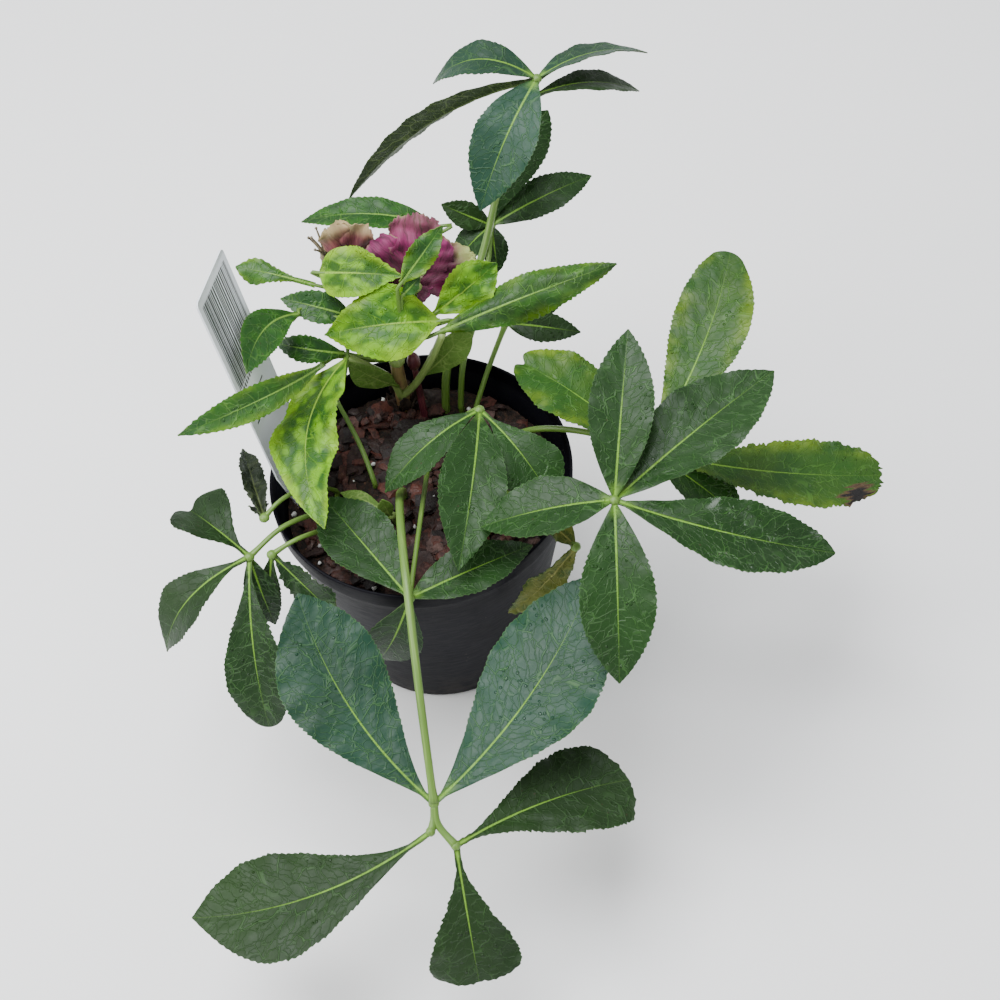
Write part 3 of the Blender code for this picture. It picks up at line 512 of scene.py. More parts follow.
def blade(piece, base, tip, width, mats, face=(0, 0, 1), peak=0.62, full=0.85, cut_off=0.0, arch=0.06,
          sweep=0.0, fold=0.16, curl=0.0, twist=0.0, wave=0.0, waves=2.0, root=1.7, point=0.5,
          tone=0.5, yellow=0.0, wet=0.0, burn=None, teeth=1.0, crinkle=0.0, buckle=0.0, quilt=1.0, frayed=0.0,
          notch=0.0, seed=1, cell=1.0):
    """A fine toothed leaflet, bract or sepal with a keeled rib beneath. Same form as the CAD blade."""
    base, tip = np.asarray(base, float), np.asarray(tip, float)
    along = unit(tip - base)
    length = np.linalg.norm(tip - base)
    normal = np.asarray(face, float)
    normal = unit(normal - along * normal.dot(along))
    side = np.cross(normal, along)
    rows = int(max(24, length / (ROW_STEP * cell)))
    columns = int(max(13, width / (COLUMN_STEP * cell))) | 1
    t, s = np.meshgrid(np.linspace(0, 1, rows), np.linspace(-1, 1, columns), indexing="ij")
    half = width / 2.0 * outline(t * (1.0 - cut_off), peak) ** full
    half = np.maximum(half, root + (point - root) * t)
    phase = (length * t / TOOTH_PITCH + 0.37 * seed + 0.4 * np.sin(9.0 * t + seed)) % 1.0
    saw = np.where(phase < 0.72, phase / 0.72, (1.0 - phase) / 0.28)
    margin = np.abs(s) ** 9
    started = np.clip((t - 0.22) * 8.0, 0.0, 1.0) * np.clip((1.0 - t) * 12.0, 0.0, 1.0)
    jag = 1.0 + 0.5 * ripple(seed, (length * t, s * 2.0), 9.0)
    reach = s * (half + teeth * TOOTH_SIZE * (saw - 0.35) * margin * started * jag)
    if frayed:
        reach += s * margin * frayed * ripple(seed + 5, (length * t, s), 3.0)
    span = np.abs(s)
    lift = half * (fold * np.sqrt(span ** 2 + 0.01) - fold * 0.1 - curl * span ** 2)
    lift = lift + wave * half * span ** 2 * np.sin(TAU * waves * t + 1.5 * s)
    lift = lift + 0.035 * half * span ** 3 * np.sin(TAU * (length / 17.0) * t + 2.2 * np.sign(s) + seed)
    rib = np.exp(-(reach / 1.1) ** 2)
    lift = lift - 0.35 * rib * (1.0 - t)
    side_phase = (length * t * math.cos(VEIN_LEAN) * 0.62 - span * half * 0.9) / 9.5
    lift = lift + 0.15 * quilt * np.cos(TAU * side_phase) * np.sin(math.pi * span) * np.clip(half / 8.0, 0, 1)
    lift = lift + 0.12 * quilt * ripple(seed + 4, (length * t, half * s), 5.0)
    lift = lift + buckle * ripple(seed + 6, (length * t, half * s), 16.0) * np.clip(t * 3.0, 0, 1)
    lift = lift + crinkle * ripple(seed + 9, (length * t, half * s), 7.0)
    lift = lift + 0.4 * crinkle * ripple(seed + 3, (length * t, half * s), 3.0)
    angle = twist * t
    shift_side = reach * np.cos(angle) - lift * np.sin(angle)
    shift_up = reach * np.sin(angle) + lift * np.cos(angle)
    bow = 4.0 * t * (1.0 - t)
    rounding = cut_off * 0.35 * length * t ** 3 * span ** 2
    rounding = rounding + notch * length * np.clip(t - 0.75, 0, 1) * 4.0 * np.exp(-(s / 0.28) ** 2)
    if frayed:
        torn = 0.5 + ripple(seed + 2, (s * half, s), 4.0)
        rounding = rounding + np.clip(t - 0.8, 0, 1) * 5.0 * (1.6 * frayed) * torn
    centre = (base + along * (length * t - rounding)[..., None]
              + normal * (arch * length * bow + shift_up)[..., None]
              + side * (sweep * length * bow + shift_side)[..., None])
    du = np.gradient(centre, axis=0)
    dv = np.gradient(centre, axis=1)
    up = np.cross(dv, du)
    size = np.linalg.norm(up, axis=-1, keepdims=True)
    up = np.where(size > 1e-9, up / np.maximum(size, 1e-9), normal)
    up *= np.sign((up @ normal).mean())
    thin = BLADE_THICK * (0.55 + 0.45 * (1.0 - margin))
    top = centre + up * thin[..., None]
    keel = RIB_KEEL * rib * np.clip(1.0 - t, 0.0, 1.0) ** 0.8
    bottom = centre - up * (thin + keel)[..., None]
    metric = np.stack([length * t / 10.0, reach / 10.0], -1).reshape(-1, 2)
    unit_uv = np.stack([t, s * 0.5 + 0.5], -1).reshape(-1, 2)
    quads = grid_quads(rows, columns)
    burnt = np.zeros(t.size) if burn is None else burn(t, s).ravel()
    marks = dict(tone=tone, yellow=yellow, burn=burnt, wet=wet)
    piece.add(top.reshape(-1, 3), quads, metric, unit_uv, mats[0], **marks)
    piece.add(bottom.reshape(-1, 3), quads[:, ::-1], metric, unit_uv, mats[1], **marks)
    loop = np.concatenate([np.arange(columns), np.arange(1, rows) * columns + columns - 1,
                           (rows - 1) * columns + np.arange(columns - 2, -1, -1),
                           np.arange(rows - 2, 0, -1) * columns])
    ring = np.concatenate([top.reshape(-1, 3)[loop], bottom.reshape(-1, 3)[loop]])
    count = len(loop)
    i = np.arange(count)
    k = (i + 1) % count
    rim = np.stack([i, i + count, k + count, k], -1)
    piece.add(ring, rim, np.tile(metric[loop], (2, 1)), np.tile(unit_uv[loop], (2, 1)), mats[1],
              tone=tone, yellow=yellow, burn=np.tile(burnt[loop], 2), wet=wet)


def smooth_route(points, step=3.0):
    """Points along a Catmull-Rom curve through the given ones."""
    knots = [np.asarray(p, float) for p in points]
    knots = [knots[0] * 2 - knots[1]] + knots + [knots[-1] * 2 - knots[-2]]
    route = []
    for i in range(1, len(knots) - 2):
        a, b, c, d = knots[i - 1:i + 3]
        pieces = max(1, round(np.linalg.norm(c - b) / step))
        for k in range(pieces):
            t = k / pieces
            route.append(0.5 * (2 * b + (c - a) * t + (2 * a - 5 * b + 4 * c - d) * t ** 2
                                + (3 * b - a - 3 * c + d) * t ** 3))
    route.append(knots[-2])
    return np.array(route)


def tube(piece, points, radius, mat, tip_radius=None, step=3.0, sides=14, groove=0.10, flare=0.0):
    """A closed round stem along a smooth curve, with a shallow groove and a flared end."""
    route = smooth_route(points, step)
    tip_radius = radius if tip_radius is None else tip_radius
    count = len(route)
    share = np.linspace(0.0, 1.0, count)
    radii = radius + (tip_radius - radius) * share
    radii = radii * (1.0 + flare * np.exp(-((1.0 - share) * count * step / 5.0) ** 2))
    tangent = np.gradient(route, axis=0)
    tangent /= np.linalg.norm(tangent, axis=1, keepdims=True)
    reference = np.array((0.31, 0.87, 0.12))
    first = np.cross(tangent, reference)
    first /= np.linalg.norm(first, axis=1, keepdims=True)
    second = np.cross(tangent, first)
    turn = np.arange(sides) * TAU / sides
    shape = 1.0 - groove * np.exp(-((turn - math.pi) / 0.5) ** 2) + 0.03 * np.cos(5.0 * turn)
    ring = (first[:, None] * np.cos(turn)[None, :, None] + second[:, None] * np.sin(turn)[None, :, None])
    body = route[:, None] + ring * (radii[:, None] * shape[None, :])[..., None]
    lengths = np.concatenate([[0.0], np.cumsum(np.linalg.norm(np.diff(route, axis=0), axis=1))])
    metric = np.stack(np.broadcast_arrays((turn * radius / 10.0)[None, :], (lengths / 10.0)[:, None]), -1)
    unit_uv = np.stack(np.broadcast_arrays((turn / TAU)[None, :], share[:, None]), -1)
    piece.add(body.reshape(-1, 3), closed_quads(count, sides), metric.reshape(-1, 2),
              unit_uv.reshape(-1, 2), mat)


def knob(piece, centre, radius, mat, stretch=(1.0, 1.0, 1.0), rings=9, sides=14, lumps=0.06, seed=1):
    """A closed, slightly lumpy ball."""
    rise, turn = np.meshgrid(np.linspace(-1, 1, rings) * (math.pi / 2 - 0.06), np.arange(sides) * TAU / sides,
                             indexing="ij")
    ball = np.stack([np.cos(rise) * np.cos(turn), np.cos(rise) * np.sin(turn), np.sin(rise)], -1)
    grow = 1.0 + lumps * ripple(seed, (ball[..., 0] * 3 + ball[..., 2], ball[..., 1] * 3 - ball[..., 2]), 3.0)
    points = np.asarray(centre, float) + ball * grow[..., None] * radius * np.asarray(stretch)
    uv = np.stack([turn * radius / 10.0, rise * radius / 10.0], -1).reshape(-1, 2)
    piece.add(points.reshape(-1, 3), closed_quads(rings, sides), uv, uv * 0.1 + 0.5, mat)


def toward(start, bearing, rise, length):
    """The point at a length from start, by its bearing and rise in degrees."""
    flat = length * math.cos(math.radians(rise))
    turn = math.radians(bearing)
    return (start[0] + flat * math.cos(turn), start[1] + flat * math.sin(turn),
            start[2] + length * math.sin(math.radians(rise)))


SOIL_TOP = 133.0
STEM_DEPTH = 20.0
FEET = {
    "leaf_front": (-12, -3, 2.4), "leaf_right": (28, 34, 2.2), "leaf_right_low": (42, 24, 2.0),
    "leaf_top": (16, 59, 2.6), "leaf_back": (25, 58, 2.0), "leaf_back_small": (34, 54, 1.6),
    "leaf_centre": (17, 24, 1.8), "leaf_rim": (4, 14, 1.5), "leaf_left": (-42, -10, 1.7),
    "leaf_left_low": (-36, -20, 1.6), "leaf_old": (-50, 2, 1.5), "leaf_yellow": (40, -8, 1.5),
    "flower_stem": (-9, 64, 4.6), "dry_stalk": (-28, 6, 1.6), "young_shoot": (-17, -19, 2.6),
}


def foot(name, top=SOIL_TOP + 6.0):
    """The buried root of a stem and its first stretch upright."""
    x, y, _ = FEET[name]
    return [(x, y, SOIL_TOP - STEM_DEPTH), (x, y, SOIL_TOP - 5.0), (x, y, SOIL_TOP + 1.0), (x, y, top)]


def leaf(name, route, leaflets, mat, side_stalks=(), tip_radius=None, seed=1):
    """A hand-shaped leaf: stalk, hub and leaflets.

    Each leaflet is (start or None for the hub, bearing, rise, length, width, values for blade).
    """
    piece = Piece(name + "_fine")
    radius = FEET[name][2]
    tube(piece, foot(name) + route, radius, STALK, tip_radius, flare=0.35)
    hub = route[-1]
    knob(piece, hub, max(2.9, radius * 1.15), STALK, stretch=(1.0, 1.0, 0.8), seed=seed)
    for way in side_stalks:
        tube(piece, way, 2.0, STALK, 1.8, flare=0.3)
        knob(piece, way[-1], 2.5, STALK, seed=seed + 3)
    for i, (start, bearing, rise, length, width, form) in enumerate(leaflets):
        form = dict(form)
        top = form.pop("mat", mat)
        start = start or hub
        tip = toward(start, bearing, rise, length)
        blade(piece, start, tip, width, (top, UNDER), seed=seed * 7 + i, **form)
    return piece.build(name)


def burnt_corner(t, s):
    """Burn mark of a dead, ragged corner near the tip."""
    ragged = 0.45 * ripple(5, (t, 0.5 * s), 0.12)
    return np.clip(1.15 + ragged - np.hypot((t - 0.90) / 0.10, (s + 0.85) / 0.65), 0.0, 1.0)


def brown_edge(t, s):
    """Burn mark along both edges of the outer end."""
    return np.clip((np.abs(s) - 0.80) * 4.0, 0, 1) * np.clip((t - 0.6) * 4.0, 0, 1) * 0.55


FRONT_HUB = (-5, -185, 120)
FRONT_FORK = (4, -204, 109)
FRONT_SIDE = (-8, -197, 113)
leaf("leaf_front", [(-12, -22, 159), (-11, -52, 171), (-9, -90, 173), (-7, -140, 152), FRONT_HUB], [
    (None, 121, 21, 128, 56, dict(peak=0.64, fold=0.10, curl=0.10, wave=0.05, arch=-0.02, sweep=0.07,
     tone=0.55)),
    (None, 47, 17, 141, 62, dict(peak=0.62, fold=0.10, curl=0.10, wave=0.05, arch=-0.01, sweep=-0.06,
     tone=0.70)),
    (FRONT_FORK, 20, -9, 99, 50, dict(cut_off=0.24, peak=0.62, full=1.1, fold=0.12, wave=0.06, arch=0.0,
     sweep=0.05, tone=0.40, mat=LEAF_OLIVE, frayed=0.6)),
    (FRONT_FORK, -85, -43, 74, 46, dict(cut_off=0.34, peak=0.60, full=1.3, fold=0.10, wave=0.08, tone=0.3,
     mat=LEAF_OLIVE, frayed=0.5, notch=0.02)),
    (FRONT_SIDE, -169, -10, 128, 56, dict(peak=0.68, full=0.95, fold=0.10, curl=0.08, arch=-0.01,
     sweep=0.08, tone=0.45, mat=LEAF_OLIVE)),
], LEAF_TEAL, side_stalks=[[FRONT_HUB, (-4, -194, 114), FRONT_FORK],
                                        [FRONT_HUB, (-6, -192, 115), FRONT_SIDE]], tip_radius=2.0, seed=1)

leaf("leaf_right", [(50, 6, 150), (74, -27, 164), (88, -47, 181), (100, -67, 200)], [
    (None, 34, 8, 111, 46, dict(peak=0.55, fold=0.20, wave=0.05, arch=0.03, tone=0.45)),
    (None, 78, 27, 89, 33, dict(peak=0.52, fold=0.24, tone=0.55)),
    (None, 179, -12, 70, 36, dict(peak=0.50, fold=0.22, tone=0.5)),
    (None, -95, -33, 92, 38, dict(peak=0.55, fold=0.18, arch=0.10, tone=0.6)),
    (None, -20, -5, 112, 42, dict(peak=0.62, full=0.78, fold=0.10, wave=0.05, arch=0.0, sweep=-0.03,
     tone=0.3, wet=1.0)),
], LEAF_GREEN, tip_radius=1.8, seed=2)

leaf("leaf_right_low", [(66, 14, 162), (96, 2, 169), (126, -11, 164)], [
    (None, 59, 23, 124, 43, dict(peak=0.62, fold=0.10, wave=0.05, sweep=-0.06, cut_off=0.08, tone=0.4,
     yellow=0.50)),
    (None, -8, -8, 131, 46, dict(peak=0.64, fold=0.08, cut_off=0.12, arch=0.0, sweep=-0.04, tone=0.4,
     yellow=0.45, frayed=1.2, burn=burnt_corner)),
    (None, 144, 21, 88, 42, dict(peak=0.60, cut_off=0.10, fold=0.14, wave=0.06, tone=0.6, yellow=0.8,
     notch=0.05)),
    (None, -35, -25, 66, 30, dict(peak=0.58, tone=0.3)),
], LEAF_LIME, tip_radius=1.7, seed=3)

TOP_HUB = (85, 162, 285)
TOP_FORK = (82, 159, 276)
leaf("leaf_top", [(20, 67, 164), (34, 94, 184), (48, 120, 204), (60, 142, 230), TOP_HUB], [
    (None, -128, -38, 78, 36, dict(peak=0.50, face=(-0.2, -0.6, 0.8), fold=0.16, arch=0.14, tone=0.8)),
    (None, -173, -28, 129, 26, dict(peak=0.55, face=(0.1, 0.9, 0.7), fold=0.25, arch=0.10, tone=0.3)),
    (None, 165, -8, 60, 26, dict(peak=0.50, arch=0.26, face=(0.0, -0.1, 1.0), tone=0.35, wet=1.0)),
    (None, 22, -8, 71, 27, dict(peak=0.50, arch=0.10, face=(0.0, 0.4, 1.0), tone=0.3)),
    (TOP_FORK, 17, -16, 68, 24, dict(peak=0.60, arch=0.10, face=(0.0, 0.1, 1.0), tone=0.5,
     mat=LEAF_OLIVE)),
], LEAF_TEAL, tip_radius=2.0, seed=4)

leaf("leaf_back", [(29, 67, 164), (40, 94, 176), (49, 122, 189), (53, 141, 200)], [
    (None, 49, 36, 74, 30, dict(peak=0.62, full=0.8, face=(0.2, -0.8, 0.6), sweep=0.08, tone=0.5)),
    (None, 20, 9, 67, 24, dict(peak=0.52, face=(0.0, -0.4, 1.0), tone=0.4)),
    (None, 165, 24, 32, 16, dict(peak=0.5, face=(0.0, -0.8, 0.6), tone=0.6, mat=LEAF_OLIVE)),
    (None, -149, -28, 31, 22, dict(peak=0.5, tone=0.4)),
    (None, -87, -46, 28, 16, dict(peak=0.5, tone=0.2)),
], LEAF_GREEN, tip_radius=1.5, seed=5)

leaf("leaf_back_small", [(44, 68, 158), (56, 84, 176)], [
    (None, -6, -12, 44, 18, dict(peak=0.45, face=(0.0, -0.7, 1.0), tone=0.3)),
    (None, 85, 10, 28, 14, dict(peak=0.5, tone=0.3)),
    (None, 22, 20, 42, 20, dict(peak=0.6, face=(0.2, -0.9, 0.5), tone=0.4)),
], LEAF_OLIVE, seed=6)

leaf("leaf_centre", [(22, 20, 164), (30, 14, 181), (36, 11, 187)], [
    (None, -147, -16, 68, 28, dict(peak=0.58, full=0.95, fold=0.14, arch=0.12, tone=0.6)),
    (None, -101, -8, 97, 36, dict(peak=0.55, full=0.95, fold=0.20, arch=0.10, face=(0.3, 0.0, 1.0),
     tone=0.6)),
    (None, -56, -18, 64, 36, dict(peak=0.66, full=1.1, fold=0.12, arch=0.12, cut_off=0.1, tone=0.75)),
], LEAF_GREEN, seed=7)

leaf("leaf_rim", [(2, -12, 154), (-3, -50, 160), (-9, -88, 160)], [
    (None, 123, 2, 81, 38, dict(peak=0.60, fold=0.14, arch=0.0, tone=0.55)),
    (None, 21, 0, 71, 30, dict(peak=0.50, fold=0.14, arch=0.02, tone=0.4)),
    (None, -168, -65, 56, 32, dict(peak=0.55, face=(0.0, -1.0, 0.2), arch=0.12, tone=0.05)),
], LEAF_GREEN, tip_radius=1.3, seed=8)

leaf("leaf_left", [(-58, -22, 152), (-76, -36, 161), (-94, -51, 158)], [
    (None, 140, 16, 46, 44, dict(peak=0.62, full=1.3, cut_off=0.34, twist=0.5, fold=0.3, tone=0.3,
     notch=0.10, mat=LEAF_OLIVE)),
    (None, -149, -32, 71, 30, dict(peak=0.60, full=1.1, fold=0.25, arch=0.22, tone=0.3, mat=LEAF_OLIVE)),
    (None, -90, -43, 94, 35, dict(peak=0.62, full=1.1, cut_off=0.12, face=(-0.2, -0.8, 0.6), arch=0.10,
     tone=0.15)),
    (None, -70, -66, 46, 18, dict(peak=0.5, face=(0.0, -0.8, 0.6), tone=0.1)),
], LEAF_GREEN, tip_radius=1.4, seed=9)

leaf("leaf_left_low", [(-51, -32, 151), (-68, -44, 160), (-82, -51, 158)], [
    (None, -40, -34, 50, 24, dict(peak=0.6, face=(-0.3, -0.9, 0.3), wave=0.2, arch=0.0, tone=0.1,
     frayed=1.4, burn=brown_edge)),
    (None, -130, -76, 50, 14, dict(peak=0.55, face=(-0.4, -0.9, 0.3), tone=0.5, mat=LEAF_OLIVE)),
], LEAF_GREEN, tip_radius=1.3, seed=10)

leaf("leaf_old", [(-62, -12, 163), (-75, -26, 172), (-84, -35, 170)], [
    (None, 105, 1, 50, 13, dict(peak=0.5, fold=0.6, wave=0.25, twist=0.6, crinkle=0.7, frayed=0.8)),
    (None, 110, -34, 24, 10, dict(peak=0.5, fold=0.6, wave=0.2, crinkle=0.7, frayed=0.8)),
], LEAF_OLD, tip_radius=1.2, seed=11)

leaf("leaf_yellow", [(54, -29, 157), (68, -50, 163), (80, -66, 160)], [
    (None, -168, -50, 62, 20, dict(peak=0.5, face=(0.2, -1.0, 0.4), fold=0.4, wave=0.25, crinkle=0.5,
     frayed=0.8, burn=brown_edge)),
    (None, 140, 24, 30, 14, dict(peak=0.5, fold=0.4, wave=0.2, crinkle=0.5)),
], LEAF_DYING, tip_radius=1.2, seed=12)

# Flowering stem with its bracts, and dark withered scales round its foot
FLOWER_NODE = (-8, 55, 186)
FLOWER_TOP = (-3, 57, 208)
FRONT_BLOOM = (8, 76, 213)
BACK_BLOOM = (-27, 103, 212)
DRY_BLOOM = (-43, 112, 209)
BACK_FORK = (-12, 80, 212)
LEFT_ARM = [(-9, 58, 150), (-13, 56, 168), (-23, 50, 187), (-34, 49, 198)]
RIGHT_ARM = [(-9, 58, 150), (1, 55, 164), (12, 50, 189), (20, 51, 207)]
RED_STEM = [(3, 54, 130), (2, 57, 150), (1, 60, 172)]
LIME, DARK, SHEATH = (BRACT_LIME, UNDER_BRACT), (BRACT_GREEN, UNDER_BRACT), (UNDER_BRACT, UNDER_BRACT)


def purple_spot(t, s):
    """A faint dark spot near the tip of the widest bract."""
    return np.clip(0.60 - 2.2 * np.hypot((t - 0.72) / 0.10, (s - 0.30) / 0.25), 0.0, 0.5)


# Each bract is (where it leaves, base, tip, width, materials, shape)
BRACTS = [
    (FLOWER_TOP, (19, 57, 211), (-45, 57, 209), 42, LIME, dict(peak=0.45, full=1.05, arch=0.12,
     face=(0, -0.6, 1), wave=0.20, waves=1.6, fold=0.26, tone=0.45, yellow=0.55, burn=purple_spot)),
    (FLOWER_TOP, (19, 52, 208), (118, 69, 230), 24, DARK, dict(arch=0.08, peak=0.50, face=(0, -0.7, 1),
     wave=0.34, curl=0.55, tone=0.0, yellow=0.35)),
    (FLOWER_NODE, (-34, 49, 198), (-50, -54, 181), 37, LIME, dict(peak=0.5, arch=0.08, sweep=-0.13,
     face=(-0.3, -0.3, 1), tone=0.15, yellow=0.6, wave=0.22, waves=2.6)),
    (FLOWER_NODE, (-47, 46, 198), (-123, -4, 208), 17, DARK, dict(arch=0.34, fold=0.25, yellow=0.5,
     tone=0.6, face=(0.15, -0.72, 0.7))),
    (FLOWER_TOP, (-58, 66, 218), (-81, 8, 238), 22, DARK, dict(peak=0.55, arch=0.05, sweep=-0.12,
     face=(0.5, -0.4, 1), tone=0.6)),
    (BACK_FORK, (-45, 88, 226), (2, 70, 235), 30, LIME, dict(peak=0.36, full=1.05, arch=0.06,
     face=(0, -0.6, 0.9), tone=0.1, yellow=0.6, wave=0.24, waves=1.5, fold=0.26)),
    (BACK_FORK, (-49, 88, 217), (-92, 98, 227), 14, DARK, dict(peak=0.75, face=(0, -0.5, 1), wave=0.30,
     curl=0.4, tone=0.7, yellow=0.5, burn=brown_edge)),
    (BACK_BLOOM, (22, 126, 217), (-56, 135, 222), 23, DARK, dict(peak=0.5, arch=0.11, face=(0, -0.1, 1),
     tone=0.2)),
    (FLOWER_TOP, (-30, 68, 210), (-68, 78, 219), 18, DARK, dict(peak=0.45, face=(0, -0.6, 1), tone=0.4)),
    (FLOWER_TOP, (15, 61, 212), (53, 74, 234), 26, LIME, dict(peak=0.6, face=(0.1, -0.8, 0.6), wave=0.2,
     tone=0.5, crinkle=1.1, yellow=0.4)),
    (FLOWER_TOP, (1, 62, 238), (26, 77, 262), 15, DARK, dict(peak=0.5, face=(0, -0.8, 0.6), wave=0.35,
     tone=0.6, yellow=0.7)),
    (FLOWER_TOP, (1, 61, 230), (11, 64, 239), 8, DARK, dict(peak=0.5, face=(0, -0.8, 0.6), wave=0.2,
     tone=0.9)),
    (FLOWER_NODE, (-36, 52, 198), (-73, 60, 203), 15, DARK, dict(peak=0.5, arch=0.30, face=(0, -0.7, 0.7),
     tone=0.1)),
    (LEFT_ARM[1], (-12, 54, 166), (-34, 47, 196), 20, SHEATH, dict(peak=0.5, face=(-0.4, -0.7, 0.5),
     teeth=0.0, tone=0.3)),
    (RIGHT_ARM[1], (4, 56, 168), (36, 55, 207), 20, SHEATH, dict(peak=0.6, face=(0.3, -0.8, 0.5),
     teeth=0.0, tone=0.7)),
]


def eased(root, base, tip):
    """A bract's root: from its stalk it bends into the line of the blade."""
    root, base, tip = (np.asarray(p, float) for p in (root, base, tip))
    inward = base - 0.10 * (tip - base)
    middle = (root + inward) / 2.0 - np.array((0.0, 0.0, 2.0))
    return [root, middle, inward, base, base + 0.12 * (tip - base)]


flower = Piece("flower_stem_fine")
tube(flower, foot("flower_stem", 146) + [FLOWER_NODE, FLOWER_TOP], 4.6, STALK_TAN, 3.4, sides=18)
knob(flower, FLOWER_TOP, 5.0, STALK_PALE, seed=2)
knob(flower, FLOWER_NODE, 5.0, STALK_PALE, seed=4)
tube(flower, LEFT_ARM, 2.4, STALK_PALE, 2.2, groove=0.3)
tube(flower, RIGHT_ARM, 2.4, STALK_PALE, 2.2, groove=0.3)
tube(flower, RED_STEM, 2.3, STALK_RED, 1.8)
knob(flower, (1, 59, 178), 4.6, STALK_RED, stretch=(0.85, 0.85, 1.5), seed=6)
tube(flower, [FLOWER_TOP, (2, 66, 211), FRONT_BLOOM], 2.4, STALK_PALE, 2.2, flare=0.4)
tube(flower, [FLOWER_TOP, BACK_FORK, BACK_BLOOM], 2.2, STALK_PALE, 1.8, flare=0.4)
tube(flower, [BACK_FORK, (-30, 100, 213), DRY_BLOOM], 1.8, STALK_PALE, 1.5, flare=0.4)
for i, (root, base, tip, width, mats, form) in enumerate(BRACTS):
    tube(flower, eased(root, base, tip), 1.5, STALK, 0.9)
    blade(flower, base, tip, width, mats, seed=60 + i, **form)
SCALES = 7
for i in range(SCALES):
    turn = TAU * i / SCALES + 0.4
    out_x, out_y = math.cos(turn), math.sin(turn)
    low = (FEET["flower_stem"][0] + 4.0 * out_x, FEET["flower_stem"][1] + 4.0 * out_y, SOIL_TOP + 1.0)
    tip = (low[0] + 5.0 * out_x, low[1] + 5.0 * out_y, SOIL_TOP + 13.0 + 3 * (i % 3))
    blade(flower, low, tip, 7.0, (DRIED_DARK, DRIED_DARK), face=(out_x, out_y, 0.3), teeth=0.0,
          crinkle=0.5, frayed=0.6, seed=80 + i)
flower.build("flower_stem")


SEPAL_FORM = dict(peak=0.60, full=0.55, fold=0.10, curl=0.25, root=2.2, teeth=0.0, cell=0.7, frayed=0.9,
                  quilt=0.0, buckle=2.2)


def bloom(name, stalk_end, sepals, mat, lift, cup=3.4, inside=0):
    """A cup with crinkled sepals round it. Each sepal is (tip, width, face, shape)."""
    piece = Piece(name + "_fine")
    x, y, z = stalk_end
    centre = (x, y, z + lift + cup)
    knob(piece, centre, cup + 0.6, STALK_PALE, seed=3)
    for i, (tip, width, face, form) in enumerate(sepals):
        form = dict(SEPAL_FORM, **form)
        blade(piece, centre, tip, width, (mat, mat), face=face, seed=30 + 11 * i, **form)
    for i in range(inside):
        turn = TAU * i / inside
        end = (centre[0] + 5.0 * math.cos(turn), centre[1] + 5.0 * math.sin(turn), centre[2] + 10.0 + (i % 3))
        tube(piece, [centre, end], 0.35, DRIED, 0.25, sides=6)
        knob(piece, end, 0.8, DRIED, rings=5, sides=8, seed=i)
    piece.build(name)


bloom("bloom_front", FRONT_BLOOM, [
    ((11, 100, 252), 30, (-0.1, -1.0, 0.3), dict(wave=0.20, cut_off=0.16, tone=0.3, frayed=1.2, yellow=0.1)),
    ((-16, 91, 242), 26, (0.4, -1.0, 0.5), dict(wave=0.20, cut_off=0.10, tone=0.7, frayed=0.9)),
    ((43, 82, 232), 32, (-0.3, -0.6, 0.8), dict(wave=0.20, arch=0.06, tone=0.1, yellow=1.0)),
    ((24, 90, 244), 24, (-0.4, -1.0, 0.5), dict(cut_off=0.1, tone=0.9)),
    ((15, 70, 220), 13, (0.0, -0.6, 0.8), dict(cut_off=0.1, tone=0.5)),
], PLUM, lift=3.0, inside=8)

bloom("bloom_back", BACK_BLOOM, [
    ((-37, 105, 244), 20, (0.2, -1.0, 0.2), dict(cut_off=0.2, wave=0.2, tone=0.3, yellow=0.8)),
    ((-24, 106, 245), 20, (-0.2, -1.0, 0.2), dict(cut_off=0.2, wave=0.2, tone=0.6, yellow=0.8)),
    ((-17, 110, 236), 16, (-0.5, -0.8, 0.6), dict(wave=0.2, tone=0.8, yellow=0.3)),
    ((-37, 103, 232), 14, (0.5, -0.8, 0.6), dict(wave=0.2, tone=0.2, yellow=0.5)),
], DUSTY, lift=3.6, cup=2.8)

# Dried bloom: brown spikes round a small cup
DRY_SPIKES = 9
DRY_CUP = (DRY_BLOOM[0], DRY_BLOOM[1], DRY_BLOOM[2] + 5.4)
dry = Piece("bloom_dried_fine")
knob(dry, DRY_CUP, 3.5, DRIED, lumps=0.2, rings=11, sides=18)
for i in range(DRY_SPIKES):
    turn = TAU * i / DRY_SPIKES
    reach = 8.5 * (0.7 if i % 2 else 1.0)
    end = (DRY_CUP[0] + reach * math.cos(turn), DRY_CUP[1] + reach * math.sin(turn),
           DRY_CUP[2] + 18.0 * (1.0 if i % 2 else 0.75))
    middle = [(a + b) / 2 for a, b in zip(DRY_CUP, end)]
    middle[2] += 1.5
    tube(dry, [DRY_CUP, middle, end], 1.1, DRIED, 0.45, sides=10, step=1.5)
    knob(dry, end, 0.9, DRIED, rings=5, sides=8, lumps=0.2, seed=i)
dry.build("bloom_dried")

# Small stems
bare = Piece("dry_stalk_fine")
tube(bare, foot("dry_stalk") + [(-34, 24, 150), (-45, 46, 166)], 1.6, STALK, 1.3)
knob(bare, (-45, 46, 166), 1.6, DRIED, seed=5)
bare.build("dry_stalk")
shoot = Piece("young_shoot_fine")
tube(shoot, foot("young_shoot", 138) + [(-19, -22, 143)], 2.6, STALK_PALE, 2.2)
blade(shoot, (-19, -22, 142), (-46, -6, 147), 9, SHEATH, arch=0.12, teeth=0.2, seed=91, tone=0.6)
blade(shoot, (-19, -22, 142), (-22, -20, 156), 9, SHEATH, face=(0, -1, 0.2), teeth=0.2, seed=92)
shoot.build("young_shoot")

